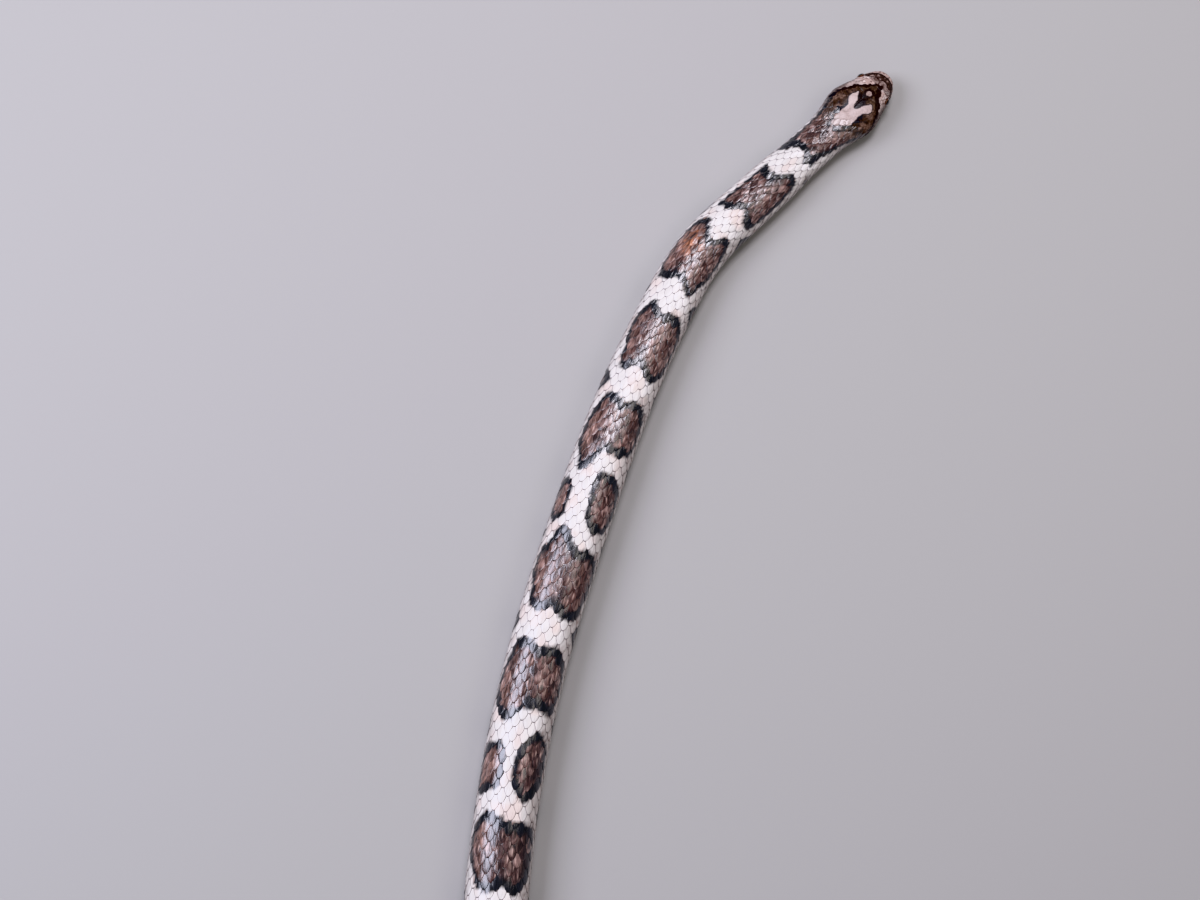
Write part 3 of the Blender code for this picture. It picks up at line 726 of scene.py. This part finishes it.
# Seams between the head's shields, on the left side: as seen from above (distance back, left), from
# the side (distance back, height) and from below (distance back, left)
TOP_SEAMS = (
    ((0.5, 0), (4.62, 0)), ((9.3, 0), (13.9, 0)), ((4.62, 0), (4.6, 1.6), (4.45, 3)),
    ((4.62, 1.6), (6.4, 1.37), (7.8, 1.1), (9.3, 0)), ((2.67, 0), (2.62, 2.4), (2.4, 2.9)),
    ((2.62, 2.4), (3.4, 3.1), (4.45, 3)), ((7.5, 3.45), (7.8, 2.3), (7.8, 1.1)),
    ((0.55, 0), (0.62, 1.25), (1.2, 2.15), (2.4, 2.9)),
    ((7.5, 3.45), (8.5, 4), (10.6, 4.5), (12.6, 4), (14, 2.6), (14.45, 1.1), (13.9, 0)),
)
SIDE_SEAMS = (
    ((0.8, 2.3), (1, 3.4), (1.15, 4.5)), ((2.7, 3.25), (2.75, 4.9)), ((1, 3.1), (2.6, 3.2), (3.9, 3.35)),
    ((6.35, 3.4), (8, 3.8), (10, 4.1), (12, 4.2), (13.6, 3.7), (14.8, 2.9)),
    ((3.75, 3.3), (3.75, 4.8), (4.1, 5.5)), ((2.75, 4.6), (3.75, 4.8)), ((7.2, 3.6), (7.25, 4.8), (7, 6.1)),
    ((6.4, 4.7), (7.25, 4.8), (9.5, 5.1), (11.7, 5.25), (13.2, 5)), ((9.5, 4), (9.5, 5.1), (9.8, 6.5)),
    ((11.7, 4.2), (11.7, 5.25), (12, 6.5)),
)
CHIN_SEAMS = (
    ((1.5, 0), (9, 0)), ((1.5, 0), (1.35, 0.7), (1.2, 1.3)),
    ((1.9, 0.75), (3.2, 1.7), (5.2, 1.75), (5.6, 0)), ((5.3, 1.7), (7, 1.6), (8.6, 1.1), (9, 0)),
)
UPPER_LIP_EDGE = ((0.9, 3.1), (3.9, 3.35), (6.3, 3.4), (8, 3.8), (10, 4.1), (12.2, 4.2), (13.6, 3.7))
LOWER_LIP_EDGE = ((1, 1.35), (2.5, 1.15), (5, 0.98), (8, 1.1), (11.5, 1.45), (14.5, 1.5))
# Joints between the shields of the lips: distances back, the edge that they reach and how far they lean
LIP_JOINTS = (
    ((1.9, 3.1, 4.5, 5.9, 7.7, 9.8, 12.2), UPPER_LIP_EDGE, 0.15),
    ((1.3, 2.1, 3.1, 4.3, 5.8, 7.6, 9.5, 11.4), LOWER_LIP_EDGE, 0.2),
)
THROAT_FROM, THROAT_TO, THROAT_PITCH = 6.2, 18, 1.55
SHIELDS_END = 16.5
# Depths and widths of the head's hollows, and the ridge and fold round each eye: off the rim, high, wide
SEAM_DEPTH, SEAM_WIDTH, SHIELD_EDGE_DROP, SHIELD_EDGE = 0.085, 0.1, 0.05, 0.5
MOUTH_DEPTH, MOUTH_WIDTH, NOSTRIL_DEPTH, NOSTRIL_WIDTH = 0.34, 0.13, 0.42, 0.22
EYE_FOLDS = ((0.16, 0.1, 0.13), (0.46, -0.07, 0.09))
EYE_REACH = 2.2


def share_seen(view, back, value):
    """The share of the girth of a place that is seen from above, from below or from the left side.

    value is how far left it lies, or its height in the view from the side.
    """
    half = SKIN[int(round(back / GRID_STEP)), GIRTH_SAMPLES // 2:, int(view == "side")]
    shares = np.linspace(0, 1, len(half))
    widest = int(np.argmax(half))
    if view == "side":
        return float(np.interp(-value, -half, shares))
    if view == "above":
        return math.copysign(np.interp(abs(value), half[:widest], shares[:widest]), value)
    return math.copysign(np.interp(-abs(value), -half[widest:], shares[widest:]), value)


def along_line(points, every=0.07):
    """Points close together along a bent line."""
    found = []
    for (x, y), (end_x, end_y) in zip(points, points[1:]):
        pieces = max(1, int(math.dist((x, y), (end_x, end_y)) / every))
        found += [(x + (end_x - x) * k / pieces, y + (end_y - y) * k / pieces) for k in range(pieces)]
    return found + [points[-1]]


def mirrored(points):
    """The same places on both sides."""
    return points + [(back, -share) for back, share in points]


def head_seams():
    """Every seam of the head as places of distance back and share of the girth."""
    lines = [("above", line) for line in TOP_SEAMS] + [("below", line) for line in CHIN_SEAMS]
    lines += [("side", line) for line in (*SIDE_SEAMS, LOWER_LIP_EDGE)]
    for joints, edge, lean in LIP_JOINTS:
        for joint in joints:
            mouth, far_end = (float(smooth(heights, joint)) for heights in (MOUTH_HEIGHTS, edge))
            lines.append(("side", ((joint, mouth), (joint + lean, far_end))))
    found = [(back, share_seen(view, back, value)) for view, line in lines
             for back, value in along_line(line)]
    for k in range(-3, int((THROAT_TO - THROAT_FROM) / THROAT_PITCH) + 1):
        start = THROAT_FROM + k * THROAT_PITCH
        for lean in (1, -1):
            line = [(start + 1.1 * left, 2.4 + lean * (left - 2.4)) for left in (1.2, 2.4, 3.6, 4.6)]
            found += [(back, share_seen("below", back, left)) for back, left in along_line(line)
                      if THROAT_FROM - 0.4 * (left - 1.2) < back < THROAT_TO and left > 0.3]
    return mirrored(found)


def nearness(points, places):
    """How far, in millimetres, each point is from the nearest of some places on the skin."""
    marks = wrap(*np.array(places, float).T, 0) / MM
    tree = kdtree.KDTree(len(marks))
    for k, mark in enumerate(marks):
        tree.insert(mark, k)
    tree.balance()
    found = [tree.find(point)[2] for point in points.reshape(-1, 3)]
    return np.array(found).reshape(points.shape[:-1])


def eye_frame(side):
    """The middle of an eye and the way it looks, in millimetres."""
    ahead, left = heading(EYE_BACK)
    way = left * side * 0.88 + ahead * 0.22 + np.array((0, 0, 0.42))
    return place(EYE_BACK, EYE_SIDE * side, EYE_HEIGHT) / MM, way / np.linalg.norm(way)


def round_grid(backs, count):
    """The distances back and shares of the girth of rings of points, this many to a ring."""
    return np.meshgrid(backs, np.arange(count) / count * 2 - 1, indexing="ij")


def head_surface():
    """The head's skin ring by ring, with shields, lips, mouth, nostrils and the rims of the eyes."""
    backs = np.concatenate(([0.02, 0.07, 0.14, 0.22], np.arange(0.3, HEAD_SKIN_END + 0.01, 0.12)))
    back, share = round_grid(backs, HEAD_ROUND)
    starts = np.transpose(first_scales(ring_backs()))
    row = np.clip(share / belly_share(back), -1, 1)
    depth = depth_at(back) * step(back - np.interp(row, *starts), -1, 0)
    points = wrap(back, share, 0) / MM
    around = np.roll(points, -1, axis=1) - np.roll(points, 1, axis=1)
    out = np.cross(around, np.gradient(points, axis=0))
    out /= np.maximum(np.linalg.norm(out, axis=2, keepdims=True), 1e-9)
    centre = points.mean(axis=1, keepdims=True)
    out *= np.sign(np.sum(out * (points - centre), axis=2, keepdims=True))
    seam = np.where(back > SHIELDS_END, FAR, nearness(points, head_seams()))
    mouth_line = [(b, share_seen("side", b, float(smooth(MOUTH_HEIGHTS, b))))
                  for b in np.arange(MOUTH_FRONT, MOUTH_CORNER, 0.06)]
    front_lip = [(MOUTH_FRONT + 0.12, s) for s in np.linspace(mouth_line[2][1], 1, 16)]
    mouth = nearness(points, mirrored(mouth_line + front_lip))
    nostril_share = share_seen("side", NOSTRIL_BACK, NOSTRIL_HEIGHT)
    nostril = nearness(points, mirrored([(NOSTRIL_BACK + k, nostril_share) for k in (-0.1, 0, 0.1)]))
    hollow = SEAM_DEPTH * bump(seam, SEAM_WIDTH) + SHIELD_EDGE_DROP * bump(seam, SHIELD_EDGE)
    hollow += MOUTH_DEPTH * bump(mouth, MOUTH_WIDTH) + NOSTRIL_DEPTH * bump(nostril, NOSTRIL_WIDTH)
    points = points - out * (hollow + depth)[..., None]
    colour = paint(back, share, 0.07)
    seam_dark = 0.55 - 0.43 * step(colour.mean(axis=-1), 0.2, 0.4)
    # Seams between shields are darkened as the joints' own colour; the mouth's line and the nostrils get
    # painted shade in their hollows
    dark = seam_dark * bump(seam, 0.09) + 0.85 * bump(mouth, 0.12) + 0.95 * bump(nostril, 0.2)
    for side in (1, -1):
        centre, way = eye_frame(side)
        away = points - centre
        ahead = away @ way
        from_axis = np.linalg.norm(away - ahead[..., None] * way, axis=2)
        near = (ahead > -0.4) & (from_axis < EYE_REACH)
        from_rim = from_axis - EYE_RIM
        rise = sum(high * bump(from_rim - at, wide) for at, high, wide in EYE_FOLDS)
        sink = 1 - step(from_rim, -0.12, 0.05)
        points = points + way * ((rise - sink) * near)[..., None]
        # Painted shade in the sunk gap round the eye and in the fold outside its rim
        dark += near * (0.9 * (1 - step(from_rim, 0, 0.12)) + 0.4 * bump(from_rim - EYE_FOLDS[1][0], 0.1))
    under = step(np.abs(share), belly_share(back) - 0.12, belly_share(back) - 0.02)
    colour = mix(colour, BELLY_WHITE, under)
    return points, mix(colour, SEAM_BROWN, np.clip(dark, 0, 0.95))


def band_faces(first, second, count):
    """The faces between two closed rings of points, each given by the number of its first point."""
    pairs = [(k, (k + 1) % count) for k in range(count)]
    return [(first + k, first + after, second + after, second + k) for k, after in pairs]


def make_skin(material):
    """One skin from the snout to the tip of the tail: bare on the head, under the scales behind it."""
    head, head_colour = head_surface()
    backs = np.append(np.arange(HEAD_SKIN_END + 1.2, LENGTH, SKIN_STEP), LENGTH - 0.05)
    back, share = round_grid(backs, BODY_ROUND)
    body = wrap(back, share, -depth_at(back) * 1.02) / MM
    body_colour = paint(back, share, 0.2) * 0.75
    nose, forward = head[0].mean(axis=0), heading(0)[0]
    dome = [nose + (head[0] - nose) * t + forward * (NOSE_DOME * (1 - t * t)) for t in NOSE_RINGS]
    tip = place(LENGTH, 0, 0.35) / MM
    points = np.concatenate(([nose + forward * NOSE_DOME], *dome, *head, *body, [tip]))
    tones = np.concatenate((head_colour[0].mean(axis=0)[None], *[head_colour[0]] * len(dome),
                            *head_colour, *body_colour, body_colour[-1][:1]))
    fine = 1 + np.arange(len(dome) + len(head)) * HEAD_ROUND
    coarse = fine[-1] + HEAD_ROUND + np.arange(len(backs)) * BODY_ROUND
    faces = [(0, 1 + (k + 1) % HEAD_ROUND, 1 + k) for k in range(HEAD_ROUND)]
    for ring in range(len(fine) - 1):
        faces += band_faces(fine[ring], fine[ring + 1], HEAD_ROUND)
    each = HEAD_ROUND // BODY_ROUND
    for k in range(BODY_ROUND):
        edge = [fine[-1] + (k * each + m) % HEAD_ROUND for m in range(each + 1)]
        faces.append((*edge, coarse[0] + (k + 1) % BODY_ROUND, coarse[0] + k))
    for ring in range(len(coarse) - 1):
        faces += band_faces(coarse[ring], coarse[ring + 1], BODY_ROUND)
    last = len(points) - 1
    faces += [(coarse[-1] + k, coarse[-1] + (k + 1) % BODY_ROUND, last) for k in range(BODY_ROUND)]
    skin = make_object("skin", points * MM, faces)
    face_outwards(skin.data)
    set_tone(skin.data, tones)
    skin.data.materials.append(material)
    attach(skin, "root")
    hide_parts("head", "neck", *(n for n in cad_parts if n.startswith(("body_", "tail_"))))


# Scales and plates

# In shares of a scale's length, where its tip begins to droop and where its rear edge begins; and in
# shares of its depth, how much edge and tip droop and how far down its underside reaches
TIP_FROM, REAR_FROM = 0.86, 0.72
DROOP, UNDERSIDE = 0.8, -0.15


def petal_template(name, stations, columns, heights, thickness):
    """One scale as a closed body, flat, in shares of its length, half width and depth.

    stations are (along, half width) pairs from front to rear, columns the shares across, and heights
    how high the front, the rear and the crown stand.
    """
    low, high, crown = heights
    first, last = stations[0][0], stations[-1][0]
    points, places = [], []
    for along, half in stations:
        t = (along - first) / (last - first)
        tip, rear = float(step(t, TIP_FROM, 1)), float(step(t, REAR_FROM, 1))
        for across in columns:
            z = low + (high - low) * t + crown * (1 - across ** 2) * math.sin(math.pi * t)
            points.append((along, across * half, z - crown * (DROOP * abs(across) ** 3 + DROOP * tip)))
            places.append((across, t, max(abs(across), rear * 0.98)))
    wide, long = len(columns), len(stations)
    faces = [(r * wide + c, (r + 1) * wide + c, (r + 1) * wide + c + 1, r * wide + c + 1)
             for r in range(long - 1) for c in range(wide - 1)]
    count = wide * long
    rim = [*range(wide), *range(2 * wide - 1, count, wide)]
    rim += [*range(count - 2, count - wide, -1), *range(count - wide, 0, -wide)]
    under = {k: len(points) + n for n, k in enumerate(rim)}
    for k in rim:
        x, y, z = points[k]
        points.append((x, y, max(z - thickness, UNDERSIDE)))
        places.append(places[k])
    for a, b in zip(rim, rim[1:] + rim[:1]):
        faces.append((a, b, under[b], under[a]))
    faces.append(tuple(under[k] for k in rim))
    made = make_object(name, points, faces)
    face_outwards(made.data)
    set_attribute(made.data, "petal", places)
    return made


def scale_sheet_tree(template, material):
    """A tree that sets one template on every root, each with its own size, and realizes them all."""
    tree = bpy.data.node_groups.new("scale_sheet", "GeometryNodeTree")
    node = partial(add_node, tree)
    tree.interface.new_socket("Geometry", in_out="OUTPUT", socket_type="NodeSocketGeometry")
    tree.interface.new_socket("Geometry", in_out="INPUT", socket_type="NodeSocketGeometry")
    for name in ("Length", "Width", "Depth"):
        tree.interface.new_socket(name, in_out="INPUT", socket_type="NodeSocketFloat").default_value = 1
    given = node("NodeGroupInput").outputs
    whole = node("CombineXYZ", {0: given["Length"], 1: given["Width"], 2: given["Depth"]})
    size = node("GeometryNodeInputNamedAttribute", {"Name": "size"}, data_type="FLOAT_VECTOR")
    scaled = node("VectorMath", {0: size, 1: whole}, operation="MULTIPLY")
    shape = node("GeometryNodeObjectInfo", {"Object": template}).outputs["Geometry"]
    roots = node("GeometryNodeMeshToPoints", {"Mesh": given["Geometry"]})
    spread = node("GeometryNodeInstanceOnPoints", {"Points": roots, "Instance": shape, "Scale": scaled})
    real = node("GeometryNodeRealizeInstances", {0: spread})
    dressed = node("GeometryNodeSetMaterial", {"Geometry": real, "Material": material})
    node("NodeGroupOutput", {0: dressed})
    return tree


def spread_scales(name, roots, template, material, sizes, painter, first, last):
    """A coat: a flat sheet of scales made by nodes, then wrapped onto the animal."""
    back, share, length, half, tint = roots
    sheet = make_object(name + "_roots", np.stack((back, share, 0 * back), -1), [])
    set_attribute(sheet.data, "size", np.stack((length, half, 1 + 0 * back), -1))
    set_attribute(sheet.data, "root", np.stack((back, share, half), -1))
    set_attribute(sheet.data, "tint", tint)
    change = sheet.modifiers.new("scales", "NODES")
    change.node_group = scale_sheet_tree(template, material)
    for socket, value in sizes.items():
        change[change.node_group.interface.items_tree[socket].identifier] = value
    bpy.context.view_layer.update()
    evaluated = sheet.evaluated_get(bpy.context.evaluated_depsgraph_get())
    mesh = bpy.data.meshes.new_from_object(evaluated)
    mesh.name = name
    bpy.data.objects.remove(sheet)
    flat, root, petal, tint = (read_vectors(mesh, stored) for stored in ("position", "root", "petal", "tint"))
    flat = flat.astype(float)
    points = wrap(np.clip(flat[:, 0], 0, LENGTH), flat[:, 1], depth_at(flat[:, 0]) * (flat[:, 2] - 1))
    mesh.vertices.foreach_set("co", points.astype(np.float32).ravel())
    mesh.flip_normals()
    mesh.shade_smooth()
    set_tone(mesh, np.clip(painter(flat, root, petal, tint), 0, 1))
    relief = NECK_RELIEF + (BODY_RELIEF - NECK_RELIEF) * step(root[:, 0], *RELIEF_CHANGE)
    set_attribute(mesh, "relief", relief * MM)
    u = (root[:, 0] - first) / (last - first) * 0.96 + 0.02 + (petal[:, 1] - 0.5) * PATCH
    v = ((root[:, 1] + 1) % 2) / 2 * 0.96 + 0.02 + petal[:, 0] * PATCH / 2
    corners = np.zeros(len(mesh.loops), np.int32)
    mesh.loops.foreach_get("vertex_index", corners)
    unwrap = mesh.uv_layers.new(name="OFBake")
    unwrap.data.foreach_set("uv", np.stack((u, v), -1)[corners].astype(np.float32).ravel())
    for spare in ("root", "size"):
        mesh.attributes.remove(mesh.attributes[spare])
    coat = add_object(name, mesh)
    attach(coat, "root")


def ring_backs():
    """How far back each ring of scales lies."""
    found = [SCALES_FROM]
    while found[-1] < LENGTH - 1.5:
        found.append(found[-1] + float(smooth(PITCHES, found[-1])))
    return np.array(found)


def row_place(row, rows):
    """Where a row of scales lies, as a share of the way to the belly, its width and its shift back.

    Rows are narrower along the back than low on the sides, and every other one lies half a scale back.
    """
    middle = rows // 2
    t = (row - middle) / (middle + 0.5)
    return 0.78 * t + 0.22 * t ** 3, (0.78 + 0.66 * t * t) / (middle + 0.5), 0.5 * ((row - middle) % 2)


def first_scales(rings):
    """How far back the first scale of each row lies, by the row's place across the back."""
    rows = BACK_ROWS[0][1]
    found = []
    for row in range(rows):
        across, _, shift = row_place(row, rows)
        backs = rings[:-1] + shift * np.diff(rings)
        found.append((across, backs[backs >= smooth(FIRST_SCALES, abs(across))][0]))
    return found


def back_scales(rings):
    """The root, size and chances of every scale of the back and sides."""
    draw = np.random.default_rng(21)
    found = []
    for ring, pitch in zip(rings, np.diff(rings)):
        rows = [count for start, count in BACK_ROWS if ring >= start][-1]
        for row in range(rows):
            across, spacing, shift = row_place(row, rows)
            back = ring + shift * pitch
            if smooth(FIRST_SCALES, abs(across)) <= back <= LENGTH - 1:
                found.append((back, across, pitch, spacing))
    back, across, pitch, spacing = np.array(found).T
    edge = belly_share(back)
    back = back + draw.uniform(-0.05, 0.05, len(back))
    tint = draw.random((len(back), 3))
    to_side = np.where(tint[:, 1] < 0.5, 0.3 * tint[:, 1], 1 - 0.3 * (1 - tint[:, 1]))
    tint[:, 1] = np.where(back < SIDE_GLINTS_END, to_side, tint[:, 1])
    return back, across * edge, pitch, spacing * edge, tint


def paint_scales(flat, root, petal, tint):
    """Colours of the back and sides: each scale mostly follows the markings, point by point."""
    follow = 0.75
    back, share = (root[:, k] + (flat[:, k] - root[:, k]) * follow for k in (0, 1))
    tone = paint(back, share, 0.12, tint)
    girth = np.abs(girth_mm(root[:, 0], root[:, 1]))
    at_tip = (petal[:, 1] > TIP_FROM) & (np.abs(petal[:, 0]) < 0.6) & (root[:, 0] > 30)
    fleck = (tint[:, 2] < 0.04 + 0.5 * step(girth, 5, 9)) & at_tip
    bright = tone.mean(axis=1) > 0.25
    tone = mix(tone, SEAM_BROWN, 0.3 * (fleck & bright))
    return tone * np.where(bright, 0.95 + 0.08 * tint[:, 0], 0.72 + 0.6 * tint[:, 0])[:, None]


def paint_plates(flat, root, petal, tint):
    """Colours of the belly: white plates with black blocks, which end on the plates' own edges."""
    left = (flat[:, 1] + 1) % 2 - 1 >= 0
    block = np.where(left, tint[:, 1], tint[:, 0]) > 0.5
    return mix(BELLY_WHITE, BLACK * 1.2, block) * (0.94 + 0.06 * tint[:, 2:])


def belly_plates(rings):
    """The root and size of every plate under the belly and pair under the tail, and which are black."""
    draw = np.random.default_rng(5)
    found, tint = [], []
    black_for = np.zeros(2)
    for ring, pitch in zip(rings, np.diff(rings)):
        if ring < PLATES_FROM:
            continue
        wide = (1 - float(belly_share(ring))) * 1.1
        pairs = ((-0.5, 0.53), (0.5, 0.53)) if ring > VENT + 3 else ((0, 1),)
        for middle, part in pairs:
            found.append((ring, 1 + middle * wide, pitch, wide * part))
            dark = (black_for > 0) | (ring > DARK_TIP_FROM)
            tint.append((*(0.9 * dark), draw.random()))
        starts = (black_for <= -1) & (draw.random(2) < 0.5)
        black_for = np.where(starts, draw.integers(1, 3, 2), black_for - 1)
    return (*np.array(found).T, np.array(tint))


def make_scales(material):
    """The coats of the back and sides, and the belly's plates."""
    lozenge = petal_template(
        "scale_pattern",
        ((-0.6, 0.3), (-0.3, 0.7), (0, 0.8), (0.22, 0.72), (0.42, 0.49), (0.55, 0.24), (0.6, 0.07)),
        (-1, -0.85, -0.35, 0.35, 0.85, 1), (0.1, 0.88, 0.14), 0.32,
    )
    plate = petal_template(
        "plate_pattern",
        ((-0.56, 0.97), (-0.2, 1), (0.3, 1), (0.5, 0.985), (0.58, 0.95)),
        tuple(np.linspace(-1, 1, 17)), (0.1, 0.94, 0.06), 0.4,
    )
    rings = ring_backs()
    roots = back_scales(rings)
    for name, first, last in COATS:
        chosen = (roots[0] >= first) & (roots[0] < last)
        part = tuple(values[chosen] for values in roots)
        spread_scales(name, part, lozenge, material, {"Length": 1.06, "Width": 1.03}, paint_scales,
                      first, last)
    spread_scales("belly_plates", belly_plates(rings), plate, material, {}, paint_plates,
                  0, LENGTH)
    for pattern in (lozenge, plate):
        bpy.data.objects.remove(pattern)


def make_eyes(material):
    """Two eyes under clear scales."""
    for name, side in (("eye_left", 1), ("eye_right", -1)):
        centre, way = eye_frame(side)
        builder = bmesh.new()
        bmesh.ops.create_uvsphere(builder, u_segments=48, v_segments=32, radius=EYE_RADIUS * MM)
        mesh = bpy.data.meshes.new(name + "_ball")
        builder.to_mesh(mesh)
        builder.free()
        heights = [vertex.co.z / (EYE_RADIUS * MM) for vertex in mesh.vertices]
        turn = Vector(way).to_track_quat("Z", "Y").to_matrix().to_4x4()
        turn.translation = Vector(centre * MM)
        mesh.transform(turn)
        mesh.shade_smooth()
        set_attribute(mesh, "ring", np.arccos(np.clip(heights, -1, 1)) / (math.pi / 2))
        mesh.materials.append(material)
        ball = add_object(name + "_ball", mesh)
        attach(ball, "root")
        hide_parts(name)


# Stage

def make_stage():
    """A plain pale floor, a soft sky, and three clouds that light the animal and mirror in its scales."""
    bpy.ops.mesh.primitive_plane_add(size=FLOOR_METRES, location=(0, 0, -FLOOR_DROP * MM))
    floor = bpy.context.object
    floor.name = "floor"
    material, shader, _ = new_material("floor_plaster")
    feed(shader, {"Base Color": (*linear(FLOOR_GREY), 1), "Roughness": 0.9})
    floor.data.materials.append(material)
    world = bpy.data.worlds.new("sky")
    bpy.context.scene.world = world
    world.use_nodes = True
    feed(world.node_tree.nodes["Background"], {0: (*linear(SKY_COLOUR), 1), 1: SKY_STRENGTH})
    bpy.context.scene.view_settings.view_transform = "Khronos PBR Neutral"
    for name, place_mm, sizes, turn, power, colour in SKY_LIGHTS:
        light = bpy.data.lights.new(name, "AREA")
        light.energy = power
        light.shape = "RECTANGLE"
        light.size, light.size_y = (size * MM for size in sizes)
        light.color = linear(colour)
        holder = add_object(name, light)
        holder.location = Vector(place_mm) * MM
        holder.rotation_euler = (0, 0, math.radians(turn))


def make_camera():
    """The photograph's view: nearly straight down."""
    tilt = math.radians(CAMERA_TILT)
    ahead = Vector((0, math.sin(tilt), -math.cos(tilt)))
    data = bpy.data.cameras.new("camera")
    data.lens, data.sensor_width = LENS, SENSOR
    data.clip_start, data.clip_end = 0.01, 20
    camera = add_object("camera", data)
    camera.location = (Vector(PICTURE_CENTRE) - ahead * CAMERA_DISTANCE) * MM
    camera.rotation_euler = (tilt, 0, 0)
    bpy.context.scene.camera = camera


make_camera()
make_stage()
make_skin(head_keratin())
make_scales(scale_keratin())
make_eyes(eye_spectacle())
